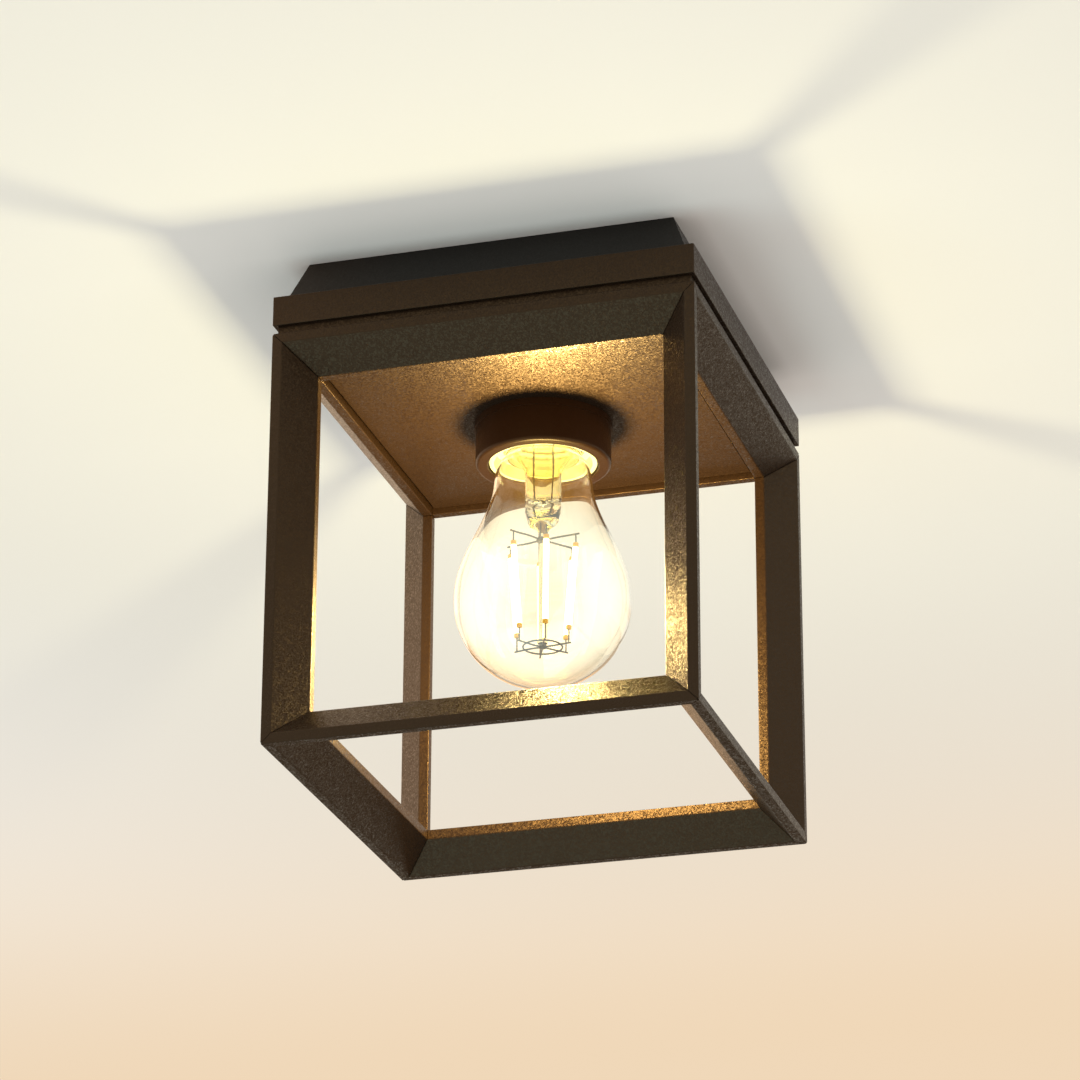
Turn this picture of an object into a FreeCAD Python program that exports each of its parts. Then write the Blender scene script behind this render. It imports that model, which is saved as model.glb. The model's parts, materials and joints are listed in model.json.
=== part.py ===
"""Porch ceiling lantern: an open cage of mitred bars under a square cap, with one clear lamp.

Millimetres. The origin is the middle of the face that meets the ceiling. +Z points up, so
everything hangs below zero. The front of the lantern faces -Y, and +X is to the right.
"""
import FreeCAD
import Part
import Sketcher
import math
import os
import re

Vector = FreeCAD.Vector
doc = FreeCAD.newDocument("porch_ceiling_lantern")


# ---------------------------------------------------------------- driving dimensions
sheet = doc.addObject("Spreadsheet::Sheet", "dimensions")
SIZES = [
    # the lantern as a whole
    ("plan_width", 145.0, "side of the square cage and cap"),
    ("cage_height", 145.0, "top rails to underside of bottom rails"),
    ("bar_width", 13.2, "depth of each bar's section"),
    ("bar_lip", 3.4, "flat left beside each bevel of a bar"),
    # base, cap and shadow gap
    ("base_height", 15.5, "ceiling to underside of the base"),
    ("base_inset", 3.5, "base's lower edge inside the cap's edge"),
    ("base_taper", 5.8, "how far each side leans in towards the ceiling"),
    ("base_roof", 2.5, "wall of the base at the ceiling"),
    ("base_wall", 2.4, "sloping wall of the base, measured level"),
    ("cap_height", 10.5, "visible height of the cap"),
    ("cap_wall", 3.0, "side wall of the cap"),
    ("cap_roof", 2.5, "top wall of the cap"),
    ("gap_height", 3.0, "height of the shadow gap, the neck plate's thickness"),
    ("gap_recess", 1.5, "depth of the shadow gap"),
    # seals
    ("seal_depth", 1.0, "depth of a seal's groove"),
    ("seal_width", 1.6, "width of a seal's groove"),
    ("seal_margin", 0.4, "rim left outside the lower seal"),
    ("foam_width", 3.0, "width of the ceiling seal's groove"),
    ("foam_margin", 3.0, "rim left outside the ceiling seal"),
    ("fit_gap", 0.05, "gap of a piece that sits in its seat"),
    ("overrun", 1.0, "how far a hole runs on into open space, so that it is cut clean"),
    # fixing to the ceiling
    ("fixing_spacing", 85.0, "between the two ceiling screw holes"),
    ("fixing_radius", 2.3, "ceiling screw hole"),
    ("cable_radius", 4.0, "bore of the cable grommet"),
    ("grommet_radius", 7.0, "hole in the base for the grommet"),
    ("grommet_lip", 2.5, "flange beyond the hole"),
    ("grommet_flange", 1.5, "thickness of the flange"),
    ("cable_x", -30.0, "cable entry, left of the middle"),
    ("cable_y", 34.0, "cable entry, behind the middle"),
    # screws
    ("screw_radius", 2.0, "shank of the machine screws"),
    ("screw_clear", 0.2, "gap round a shank in a clearance hole"),
    ("head_radius", 3.3, "head of the machine screws"),
    ("head_height", 2.0, "height of the heads"),
    ("slot_width", 0.9, "screwdriver slot"),
    ("end_gap", 0.2, "end of a cap screw inside its plate"),
    ("side_screw_drop", 9.0, "side screws, below the ceiling"),
    ("side_screw_sink", 3.6, "head's seat, inside the slope"),
    ("side_boss_depth", 2.4, "boss behind the seat"),
    ("side_boss_radius", 5.5, "boss round a side screw"),
    ("lug_gap", 0.3, "between boss and lug"),
    ("lug_thick", 3.0, "lug on the cap"),
    ("lug_width", 14.0, "lug on the cap"),
    ("lug_top_drop", 4.0, "lug's top, below the ceiling"),
    ("cap_screw_inset", 18.5, "cap screws, in from the cap's edge"),
    ("cap_boss_radius", 4.5, "bosses inside the cap"),
    # inner panel
    ("panel_slit", 1.2, "slit between panel and rails"),
    ("panel_raise", 2.0, "panel's underside above the rails' undersides"),
    ("panel_thick", 1.5, "sheet thickness"),
    ("stud_inset", 20.1, "studs, in from the panel's edge"),
    ("stud_sink", 1.0, "stud's foot pressed into the panel"),
    ("stud_above", 4.0, "stud above the neck plate"),
    ("spacer_wall", 1.4, "wall of the spacer tubes"),
    ("nut_radius", 4.0, "nuts, across corners, halved"),
    ("nut_height", 3.0, "nuts"),
    # lampholder
    ("shroud_mouth", 18.8, "bore of the shroud"),
    ("shroud_wall", 4.35, "wall of the shroud"),
    ("shroud_drop", 15.3, "shroud below the panel"),
    ("collar_height", 2.4, "slightly wider top of the shroud"),
    ("collar_step", 0.5, "how much wider it is"),
    ("shroud_outer_round", 1.3, "rounded lower outer edge"),
    ("shroud_inner_round", 0.5, "rounded lower inner edge"),
    ("shroud_screw_radius", 1.25, "small screws above the panel"),
    ("shroud_screw_length", 8.0, "small screws above the panel"),
    ("shroud_head_radius", 2.15, "heads of the small screws"),
    ("shroud_head_height", 1.4, "heads of the small screws"),
    ("blind_room", 0.5, "blind hole beyond the end of a small screw"),
    ("skirt_gap", 0.4, "between shroud and lampholder"),
    ("skirt_wall", 1.6, "lampholder's skirt"),
    ("skirt_recess", 1.0, "skirt's edge above the shroud's edge"),
    ("skirt_depth", 5.2, "depth of the wide mouth in the skirt"),
    ("shell_room", 0.1, "between the threaded shell and its bore"),
    ("shell_raise", 0.8, "threaded shell above the wide mouth in the skirt"),
    ("shell_length", 20.5, "threaded shell"),
    ("shell_thick", 0.4, "threaded shell's sheet"),
    ("contact_ledge", 2.0, "ledge above the threaded shell"),
    ("contact_room", 2.0, "lampholder's floor above the lamp's contact"),
    ("floor_thick", 1.0, "porcelain under the nipple"),
    ("shoulder_height", 5.4, "sloping top of the lampholder"),
    ("shoulder_in", 5.4, "how far that slope leans in"),
    ("opening_gap", 1.1, "holes of neck plate and panel round the lampholder"),
    ("nipple_radius", 5.0, "hollow threaded tube"),
    ("nipple_bore", 3.8, "hollow threaded tube"),
    ("nipple_under", 3.2, "top of the tube below the leads"),
    ("washer_radius", 9.0, "washer under the nipple's nut"),
    ("washer_thick", 0.8, "washer under the nipple's nut"),
    ("nipple_nut_radius", 8.0, "across corners, halved"),
    ("nipple_nut_height", 2.0, "nut on the nipple"),
    ("strip_thick", 0.5, "contact strips"),
    ("strip_near", 2.6, "foot of each contact strip, from the axis"),
    ("strip_far", 9.0, "bend of the centre contact, from the axis"),
    ("strip_width", 4.0, "width of the centre contact"),
    ("strip_offset", 0.4, "edge of the centre contact, behind the axis"),
    ("tongue_end", 2.0, "where the centre contact's tongue turns up"),
    ("tongue_lift", 0.5, "how far its tip turns up"),
    ("touch_gap", 0.15, "left between a contact strip and what it presses on"),
    ("side_strip_width", 2.0, "width of the side contact"),
    ("side_strip_inset", 1.0, "side contact, inside the bore above the shell"),
    ("toe_inset", 0.45, "side contact's toe, inside the shell's widest radius"),
    # terminal block and leads
    ("block_x", -32.0, "middle of the terminal block"),
    ("block_length", 18.0, "along the wires"),
    ("block_width", 28.0, "across the three poles"),
    ("block_room", 1.0, "between the terminal block and the cap"),
    ("block_boss", 1.5, "bosses that the block stands on"),
    ("pole_pitch", 8.0, "between poles"),
    ("pole_drop", 5.0, "clamps below the block's top"),
    ("clamp_radius", 2.4, "brass clamp tubes"),
    ("clamp_bore", 1.6, "brass clamp tubes"),
    ("clamp_length", 15.0, "brass clamp tubes"),
    ("clamp_screw_radius", 1.3, "clamp screws"),
    ("clamp_screw_offset", 5.0, "clamp screws, from the block's middle"),
    ("clamp_screw_room", 0.3, "gap round a clamp screw in the block"),
    ("clamp_screw_sink", 0.5, "ends of the clamp screws inside the block"),
    ("fine_slot", 0.5, "slot of a clamp screw"),
    ("fine_slot_depth", 0.7, "slot of a clamp screw"),
    ("tapping_radius", 1.25, "screws that hold the block"),
    ("tapping_wall", 1.6, "wall of the bosses that they are driven into"),
    ("tapping_head_radius", 2.0, "heads of the screws that hold the block"),
    ("tapping_head_height", 0.8, "heads of the screws that hold the block"),
    ("blind_floor", 1.2, "wall left above blind holes in the base"),
    ("lead_radius", 1.1, "insulated leads"),
    ("lead_spacing", 1.4, "leads, from the middle of the nipple"),
    ("lead_stop", 2.0, "end of a lead, short of the clamp screw"),
    ("earth_shift", 2.0, "earth screw, right of the terminal block's middle"),
    ("earth_y", -34.0, "earth screw, in front of the middle"),
    ("tag_radius", 3.6, "eye of the earth tag"),
    ("tag_thick", 0.8, "earth tag"),
    ("tag_neck", 1.0, "strip between the eye and the barrel, and its grip on the barrel"),
    ("tag_neck_width", 3.0, "that strip"),
    ("barrel_radius", 1.9, "barrel of the earth tag"),
    ("barrel_length", 5.0, "barrel of the earth tag"),
    ("barrel_drop", 1.2, "barrel's axis below the strip"),
    # lamp
    ("lamp_sink", 3.5, "glass edge of the lamp's cap above the shroud's edge"),
    ("lamp_cap_length", 27.0, "lamp's cap with its contact"),
    ("lamp_glass_length", 83.0, "glass below the cap"),
    ("lamp_radius", 30.0, "widest radius of the glass"),
    ("glass_wall", 0.8, "glass"),
    ("thread_pitch", 3.629, "seven threads to the inch"),
    ("thread_mean", 12.66, "mean radius of the lamp's thread"),
    ("thread_wave", 0.55, "half the depth of the rolled thread"),
    ("thread_gap", 0.3, "between the lamp's thread and the shell's"),
    ("cap_sheet", 0.3, "sheet of the lamp's cap"),
    ("tip_radius", 4.6, "lamp's centre contact"),
    ("tip_height", 0.9, "lamp's centre contact"),
    ("tip_round", 0.5, "its rounded edge"),
    ("vitrite_height", 3.2, "black insulator"),
    ("vitrite_top", 5.6, "insulator's radius at the contact"),
    ("vitrite_in", 2.06, "insulator's foot, inside the thread's mean radius"),
    ("cap_curl", 0.3, "lamp cap's upper edge, outside the insulator's foot"),
    ("cap_grip", 0.1, "lamp cap's upper edge above the insulator's foot"),
    ("skirt_clear", 0.5, "plain skirt of the lamp's cap below the threaded shell"),
    ("neck_inset", 0.75, "glass neck, inside the thread's mean radius"),
    ("stem_radius", 6.15, "glass stem tube"),
    ("stem_wall", 0.7, "glass stem tube"),
    ("flare_inset", 1.9, "stem's flared rim, inside the thread's mean radius"),
    ("flare_wall", 0.9, "stem's flared rim"),
    ("flare_rise", 1.5, "stem's flared rim above the edge of the lamp's cap"),
    ("flare_drop", 6.0, "where the flare becomes a tube, below that edge"),
    ("tube_drop", 20.0, "where the pinch starts, below that edge"),
    ("pinch_drop", 26.0, "where the pinch ends, below that edge"),
    ("pinch_inset", 1.8, "pinch, inside the tube's radius"),
    ("rod_radius", 1.6, "glass rod below the stem"),
    ("rod_stop", 1.2, "rod's end above the wire ring's level"),
    ("wire_radius", 0.3, "wires in the lamp"),
    ("thin_wire_radius", 0.255, "wires that hold the filaments' ends"),
    ("feed_wire_out", 3.4, "wires in the stem, from the axis"),
    ("feed_wire_drop", 19.3, "their lower ends, below the edge of the lamp's cap"),
    ("hub_wall", 0.7, "metal hub of the star"),
    ("hub_height", 0.9, "metal hub of the star"),
    ("ring_hub_radius", 1.2, "metal bead in the middle of the ring"),
    ("ring_hub_height", 1.6, "metal bead in the middle of the ring"),
    ("ring_hub_below", 0.5, "how much of that bead lies below the wires"),
    ("spoke_past", 0.8, "ring's wires beyond the filaments' feet"),
    ("spoke_grip", 0.3, "how far a wire is buried in the metal hub"),
    ("filament_grip", 0.9, "gap that a thin wire leaves to a filament's nominal end"),
    ("filament_radius", 0.95, "coated LED sticks"),
    ("filament_top_out", 12.2, "filaments' upper ends, from the axis"),
    ("filament_low_out", 9.5, "filaments' lower ends, from the axis"),
    ("filament_top_drop", 33.8, "filaments' upper ends below the lamp's cap"),
    ("filament_low_drop", 64.6, "filaments' lower ends below the lamp's cap"),
    ("star_drop", 30.7, "star of wires below the lamp's cap"),
    ("star_out", 13.4, "length of the star's wires"),
    ("ring_drop", 69.4, "wire ring below the lamp's cap"),
    ("ring_radius", 6.6, "wire ring"),
    ("ring_wire_radius", 0.36, "wire ring"),
    ("board_rise", 5.0, "circuit board above the edge of the lamp's cap"),
    ("board_half", 8.0, "circuit board, half its width"),
    ("board_thick", 1.2, "circuit board"),
    ("board_room", 1.6, "between the circuit board and the insulator"),
    ("can_radius", 3.0, "capacitor"),
    ("can_offset", 3.4, "capacitor's axis behind the board"),
    ("can_rise", 1.5, "capacitor's foot above the board's lower edge"),
    ("can_room", 3.0, "capacitor's top below the board's upper edge"),
]
for row, (alias, value, note) in enumerate(SIZES, start=1):
    sheet.set("A%d" % row, note)
    sheet.set("B%d" % row, str(value))
    sheet.setAlias("B%d" % row, alias)
doc.recompute()

# ---------------------------------------------------------------- levels and places
levels = doc.addObject("App::VarSet", "levels")
LEVELS = []


def in_full(formula):
    """A formula in plain aliases, written the way the document reads it."""
    names = {alias for alias, value, note in SIZES}

    def spell_out(match):
        word = match.group()
        if word in names:
            return "dimensions." + word
        if word in LEVELS:
            return "levels." + word
        return word

    return re.sub(r"[a-z_]+", spell_out, str(formula))


def level(name, formula):
    """A place that follows from the driving dimensions."""
    levels.addProperty("App::PropertyFloat", name, "levels")
    levels.setExpression(name, in_full(formula))
    LEVELS.append(name)


level("plan_half", "plan_width / 2")
level("base_low", "-base_height")
level("base_top_half", "plan_half - base_inset - base_taper")
level("base_low_half", "plan_half - base_inset")
level("cap_low", "base_low - cap_height")
level("cap_ceiling", "base_low - cap_roof")
level("cage_top", "cap_low - gap_height")
level("cage_low", "cage_top - cage_height")
level("rail_under", "cage_top - bar_width")
level("neck_half", "plan_half - gap_recess")
level("panel_low", "rail_under + panel_raise")
level("panel_top", "panel_low + panel_thick")
level("panel_half", "plan_half - bar_width - panel_slit")
level("stud_at", "panel_half - stud_inset")
level("shroud_low", "panel_low - shroud_drop")
level("shroud_radius", "shroud_mouth + shroud_wall")
level("shroud_middle", "shroud_mouth + shroud_wall / 2")
level("skirt_radius", "shroud_mouth - skirt_gap")
level("skirt_low", "shroud_low + skirt_recess")
level("skirt_bore", "skirt_radius - skirt_wall")
level("opening_radius", "skirt_radius + opening_gap")
level("lamp_edge", "shroud_low + lamp_sink")
level("lamp_top", "lamp_edge + lamp_cap_length")
level("lamp_low", "lamp_edge - lamp_glass_length")
level("holder_floor", "lamp_top + contact_room")
level("shell_outside", "thread_mean + thread_gap + thread_wave + shell_thick")
level("shell_bore", "shell_outside + shell_room")
level("contact_bore", "shell_bore - contact_ledge")
level("shell_low", "skirt_low + skirt_depth + shell_raise")
level("shell_top", "shell_low + shell_length")
level("vitrite_foot", "thread_mean - vitrite_in")
level("vitrite_low", "lamp_top - tip_height - vitrite_height")
level("slope_at_screw", "plan_half - base_inset - base_taper * (1 - side_screw_drop / base_height)")
level("side_seat", "slope_at_screw - side_screw_sink")
level("side_boss_face", "side_seat - side_boss_depth")
level("lug_face", "side_boss_face - lug_gap")
level("cap_screw_at", "plan_half - cap_screw_inset")
level("block_top", "-base_roof - block_boss")
level("block_low", "base_low + block_room")
level("pole_level", "block_top - pole_drop")
level("earth_x", "block_x + earth_shift")
level("barrel_near", "earth_x + tag_radius + tag_neck")
level("barrel_axis", "block_top - tag_thick - barrel_drop")
doc.recompute()


def number(name):
    """The present value of a driving dimension or level, for shapes made by formula."""
    if name in LEVELS:
        return float(getattr(levels, name))
    return float(sheet.get(name))


# ---------------------------------------------------------------- building blocks
subparts = []


def bind(thing, **formulas):
    """Tie properties of an object to formulas of the driving dimensions."""
    for name, formula in formulas.items():
        thing.setExpression(name.replace("__", "."), in_full(formula))
    return thing


def place(thing, x="0", y="0", z="0", turn=None):
    """Put an object at a place given by formulas, turned first if a rotation is given."""
    if turn is not None:
        thing.Placement = FreeCAD.Placement(Vector(0, 0, 0), turn)
    return bind(thing, Placement__Base__x=x, Placement__Base__y=y, Placement__Base__z=z)


def box(x, y, z):
    """A block from three pairs of formulas: low and high in X, Y and Z."""
    block = doc.addObject("Part::Box", "block")
    bind(block, Length="(%s) - (%s)" % (x[1], x[0]))
    bind(block, Width="(%s) - (%s)" % (y[1], y[0]))
    bind(block, Height="(%s) - (%s)" % (z[1], z[0]))
    return place(block, x[0], y[0], z[0])


def square(half, z):
    """A square block about the axis."""
    side = ("-(%s)" % half, half)
    return box(side, side, z)


TURN_ALONG = {
    "Z": FreeCAD.Rotation(),
    "X": FreeCAD.Rotation(Vector(0, 1, 0), 90),
    "-X": FreeCAD.Rotation(Vector(0, 1, 0), -90),
}


def rod(radius, span, x="0", y="0", z="0", along="Z"):
    """A round rod. span is low and high along Z, or the two ends counted along X."""
    cylinder = doc.addObject("Part::Cylinder", "rod")
    bind(cylinder, Radius=radius, Height="(%s) - (%s)" % (span[1], span[0]))
    if along == "Z":
        return place(cylinder, x, y, span[0], TURN_ALONG["Z"])
    start = span[0] if along == "X" else "-(%s)" % span[0]
    return place(cylinder, start, y, z, TURN_ALONG[along])


def cone(low_radius, high_radius, span):
    """A cone about the axis, from a lower to an upper level."""
    shape = doc.addObject("Part::Cone", "cone")
    bind(shape, Radius1=low_radius, Radius2=high_radius, Height="(%s) - (%s)" % (span[1], span[0]))
    return place(shape, z=span[0])


def hexagon(radius, span, x="0", y="0"):
    """A hexagonal block, sized across its corners."""
    shape = doc.addObject("Part::Prism", "hexagon")
    shape.Polygon = 6
    bind(shape, Circumradius=radius, Height="(%s) - (%s)" % (span[1], span[0]))
    return place(shape, x, y, span[0])


def frustum(low_half, high_half, span):
    """A square block whose sides lean, from a lower to an upper level."""
    wedge = doc.addObject("Part::Wedge", "frustum")
    wedge.Placement = FreeCAD.Placement(Vector(0, 0, 0), FreeCAD.Rotation(Vector(1, 0, 0), 90))
    bind(wedge, Ymin=span[0], Ymax=span[1])
    bind(wedge, Xmin="-(%s)" % low_half, Xmax=low_half, Zmin="-(%s)" % low_half, Zmax=low_half)
    return bind(
        wedge, X2min="-(%s)" % high_half, X2max=high_half, Z2min="-(%s)" % high_half, Z2max=high_half
    )


def joined(pieces):
    """Pieces grown into one solid."""
    if len(pieces) == 1:
        return pieces[0]
    shape = doc.addObject("Part::MultiFuse", "joined")
    shape.Shapes = pieces
    return shape


def without(base, tools):
    """A piece with other shapes cut out of it."""
    shape = doc.addObject("Part::Cut", "cut")
    shape.Base = base
    shape.Tool = joined(tools)
    return shape


def keep(name, shape):
    """Name a finished sub-part."""
    shape.Label = name
    subparts.append(shape)
    return shape


def group(name, pieces):
    """Several identical loose pieces under one name."""
    shape = doc.addObject("Part::Compound", name)
    shape.Links = pieces
    return keep(name, shape)


def made(name, shape):
    """A sub-part whose form comes from a formula."""
    feature = doc.addObject("Part::Feature", name)
    feature.Shape = shape
    feature.Placement = FreeCAD.Placement()
    return keep(name, feature)


def wire_between(start, end, radius):
    """A straight round wire between two places."""
    way = end - start
    return Part.makeCylinder(radius, way.Length, start, way)


def origin_plane(body, role):
    return [item for item in body.Origin.OriginFeatures if item.Role == role][0]


def outline(body, role, loops):
    """A sketch of closed straight-sided loops, each corner tied to two formulas."""
    sketch = body.newObject("Sketcher::SketchObject", "outline")
    sketch.AttachmentSupport = [(origin_plane(body, role), "")]
    sketch.MapMode = "FlatFace"
    first = 0
    for loop in loops:
        corners = []
        for across, up in loop:
            probe = Vector(measured(across), measured(up), 0)
            corners.append(probe)
        count = len(corners)
        for index in range(count):
            after = corners[(index + 1) % count]
            sketch.addGeometry(Part.LineSegment(corners[index], after), False)
        for index in range(count):
            meets = first + (index + 1) % count
            sketch.addConstraint(Sketcher.Constraint("Coincident", first + index, 2, meets, 1))
        for index, (across, up) in enumerate(loop):
            for kind, formula in (("DistanceX", across), ("DistanceY", up)):
                rule = Sketcher.Constraint(kind, -1, 1, first + index, 1, measured(formula))
                spot = sketch.addConstraint(rule)
                sketch.setExpression("Constraints[%d]" % spot, in_full(formula))
        first += count
    return sketch


probes = doc.addObject("App::VarSet", "probes")
probed = {}


def measured(formula):
    """The present value of a formula, so that a sketch starts where its constraints hold it."""
    if formula not in probed:
        name = "probe_%d" % len(probed)
        probes.addProperty("App::PropertyFloat", name, "probes")
        probes.setExpression(name, in_full(formula))
        probes.recompute()
        probed[formula] = float(getattr(probes, name))
    return probed[formula]


def turned(name, profile):
    """A solid turned about Z from corners given as (radius, level) formulas."""
    body = doc.addObject("PartDesign::Body", name)
    doc.recompute()
    sketch = outline(body, "XZ_Plane", [profile])
    turning = body.newObject("PartDesign::Revolution", "turning")
    turning.Profile = sketch
    turning.ReferenceAxis = (sketch, ["V_Axis"])
    turning.Angle = 360
    doc.recompute()
    return body


# ---------------------------------------------------------------- screws
def slotted_screw(shank, head, head_height, seat, tip, x, y):
    """An upright screw whose head sits above its seat, with a slot across the head."""
    top = "(%s) + (%s)" % (seat, head_height)
    head_rod = rod(head, (seat, top), x, y)
    shank_rod = rod(shank, (tip, seat), x, y)
    slot_x = ("(%s) - (%s)" % (x, head), "(%s) + (%s)" % (x, head))
    slot_y = ("(%s) - slot_width / 2" % y, "(%s) + slot_width / 2" % y)
    slot = box(slot_x, slot_y, ("%s - (%s) / 2" % (top, head_height), top))
    return without(joined([head_rod, shank_rod]), [slot])


def hanging_screw(shank, head, head_height, seat, tip, x, y):
    """The same screw driven upwards, its head below the seat."""
    low = "(%s) - (%s)" % (seat, head_height)
    head_rod = rod(head, (low, seat), x, y)
    shank_rod = rod(shank, (seat, tip), x, y)
    slot_x = ("(%s) - (%s)" % (x, head), "(%s) + (%s)" % (x, head))
    slot_y = ("(%s) - slot_width / 2" % y, "(%s) + slot_width / 2" % y)
    slot = box(slot_x, slot_y, (low, "%s + (%s) / 2" % (low, head_height)))
    return without(joined([head_rod, shank_rod]), [slot])


# ---------------------------------------------------------------- ceiling base
SIDES = (("X", ""), ("-X", "-"))


def ceiling_base():
    """Cast tray with leaning walls. Bosses are left standing in its cavity."""
    slope_at_roof = "base_low_half - base_wall - base_taper * (1 - base_roof / base_height)"
    cavity = frustum("base_low_half - base_wall", slope_at_roof, ("base_low", "-base_roof"))
    bosses = []
    holes = []
    for along, sign in SIDES:
        spot = dict(z="-side_screw_drop", along=along)
        bosses.append(rod("side_boss_radius", ("side_boss_face", "plan_half"), **spot))
        clearance = "screw_radius + screw_clear"
        holes.append(rod(clearance, ("side_boss_face - overrun", "plan_half"), **spot))
        holes.append(rod("head_radius + screw_clear", ("side_seat", "plan_half"), **spot))
    for y in ("pole_pitch / 2", "-pole_pitch / 2"):
        stand = "tapping_radius + tapping_wall"
        bosses.append(rod(stand, ("block_top", "-base_roof"), "block_x", y))
        pilot = "tapping_radius + fit_gap"
        holes.append(rod(pilot, ("block_top", "-blind_floor"), "block_x", y))
    bosses.append(rod("tag_radius", ("block_top", "-base_roof"), "earth_x", "earth_y"))
    pilot = "screw_radius + fit_gap"
    holes.append(rod(pilot, ("block_top", "-blind_floor"), "earth_x", "earth_y"))
    for y in ("fixing_spacing / 2", "-fixing_spacing / 2"):
        holes.append(rod("fixing_radius", ("-base_roof", "0"), "0", y))
    holes.append(rod("grommet_radius", ("-base_roof", "0"), "cable_x", "cable_y"))
    foam_outer = square("base_top_half - foam_margin", ("-seal_depth", "0"))
    foam_inner = square("base_top_half - foam_margin - foam_width", ("-seal_depth", "0"))
    groove = without(foam_outer, [foam_inner])
    casting = frustum("base_low_half", "base_top_half", ("base_low", "0"))
    return keep("ceiling_base", without(casting, [without(cavity, bosses), groove] + holes))


def ceiling_gasket():
    """Foam seal that fills the groove at the ceiling."""
    outer = square("base_top_half - foam_margin - fit_gap", ("-seal_depth", "0"))
    inner = square("base_top_half - foam_margin - foam_width + fit_gap", ("-seal_depth", "0"))
    return keep("ceiling_gasket", without(outer, [inner]))


def cable_grommet():
    """Rubber grommet, its flange inside the base."""
    flange_low = "-base_roof - grommet_flange"
    neck = rod("grommet_radius - fit_gap", (flange_low, "0"), "cable_x", "cable_y")
    flange = rod("grommet_radius + grommet_lip", (flange_low, "-base_roof"), "cable_x", "cable_y")
    bore = rod("cable_radius", (flange_low, "0"), "cable_x", "cable_y")
    return keep("cable_grommet", without(joined([neck, flange]), [bore]))


def base_side_screws():
    """Two level screws that tie the base to the cap's lugs."""
    screws = []
    for along, sign in SIDES:
        spot = dict(z="-side_screw_drop", along=along)
        outer = "side_seat + head_height"
        head = rod("head_radius", ("side_seat", outer), **spot)
        shank = rod("screw_radius", ("lug_face - lug_thick", "side_seat"), **spot)
        ends = ("side_seat + head_height / 2", outer)
        if sign:
            ends = ("-(%s)" % ends[1], "-(%s)" % ends[0])
        slot_z = ("-side_screw_drop - slot_width / 2", "-side_screw_drop + slot_width / 2")
        slot = box(ends, ("-head_radius", "head_radius"), slot_z)
        screws.append(without(joined([head, shank]), [slot]))
    return group("base_side_screws", screws)


# ---------------------------------------------------------------- terminal block and earth
POLES = ("pole_pitch", "0", "-pole_pitch")


def clamp_ends(length):
    return ("block_x - (%s) / 2" % length, "block_x + (%s) / 2" % length)


def terminal_block():
    """Insulating block with three bores for the clamps and holes for their screws."""
    depth = ("-block_width / 2", "block_width / 2")
    body = box(clamp_ends("block_length"), depth, ("block_low", "block_top"))
    tools = []
    for y in POLES:
        bore = "clamp_radius + fit_gap"
        tools.append(rod(bore, clamp_ends("block_length"), y=y, z="pole_level", along="X"))
        for side in ("+", "-"):
            x = "block_x %s clamp_screw_offset" % side
            well = "clamp_screw_radius + clamp_screw_room"
            tools.append(rod(well, ("block_low", "pole_level"), x, y))
    for y in ("pole_pitch / 2", "-pole_pitch / 2"):
        clearance = "tapping_radius + screw_clear"
        tools.append(rod(clearance, ("block_low", "block_top"), "block_x", y))
    return keep("terminal_block", without(body, tools))


def terminal_clamps():
    """Three brass tubes, each with two threaded holes from below."""
    tubes = []
    for y in POLES:
        outside = rod("clamp_radius", clamp_ends("clamp_length"), y=y, z="pole_level", along="X")
        tools = [rod("clamp_bore", clamp_ends("clamp_length"), y=y, z="pole_level", along="X")]
        for side in ("+", "-"):
            x = "block_x %s clamp_screw_offset" % side
            hole = "clamp_screw_radius + fit_gap"
            low = "pole_level - clamp_radius - overrun"
            tools.append(rod(hole, (low, "pole_level"), x, y))
        tubes.append(without(outside, tools))
    return group("terminal_clamps", tubes)


def terminal_screws():
    """Six clamp screws, reached from below."""
    screws = []
    for y in POLES:
        for side in ("+", "-"):
            x = "block_x %s clamp_screw_offset" % side
            tip = "pole_level - lead_radius - fit_gap"
            low = "block_low + clamp_screw_sink"
            shank = rod("clamp_screw_radius", (low, tip), x, y)
            slot_x = ("%s - clamp_screw_radius" % x, "%s + clamp_screw_radius" % x)
            slot_y = ("%s - fine_slot / 2" % y, "%s + fine_slot / 2" % y)
            slot = box(slot_x, slot_y, (low, "%s + fine_slot_depth" % low))
            screws.append(without(shank, [slot]))
    return group("terminal_screws", screws)


def terminal_fixing_screws():
    """Two screws through the block into the base's bosses."""
    screws = []
    for y in ("pole_pitch / 2", "-pole_pitch / 2"):
        tip = "-blind_floor - fit_gap"
        shank = rod("tapping_radius", ("block_low", tip), "block_x", y)
        under = ("block_low - tapping_head_height", "block_low")
        head = rod("tapping_head_radius", under, "block_x", y)
        screws.append(joined([shank, head]))
    return group("terminal_fixing_screws", screws)


def earth_tag():
    """Eye under the earth screw, with the barrel that grips the earth lead."""
    under = ("block_top - tag_thick", "block_top")
    eye = rod("tag_radius", under, "earth_x", "earth_y")
    neck_y = ("earth_y - tag_neck_width / 2", "earth_y + tag_neck_width / 2")
    neck = box(("earth_x", "barrel_near + tag_neck"), neck_y, under)
    barrel_ends = ("barrel_near", "barrel_near + barrel_length")
    axis = dict(y="earth_y", z="barrel_axis", along="X")
    barrel = rod("barrel_radius", barrel_ends, **axis)
    hole = rod("screw_radius + screw_clear", under, "earth_x", "earth_y")
    grip = rod("lead_radius + fit_gap", barrel_ends, **axis)
    return keep("earth_tag", without(joined([eye, neck, barrel]), [hole, grip]))


def earth_screw():
    tip = "-blind_floor - fit_gap"
    seat = "block_top - tag_thick"
    screw = hanging_screw("screw_radius", "head_radius", "head_height", seat, tip, "earth_x", "earth_y")
    return keep("earth_screw", screw)


# ---------------------------------------------------------------- cap and shadow gap
CORNERS = [(a, b) for a in ("", "-") for b in ("", "-")]


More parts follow.
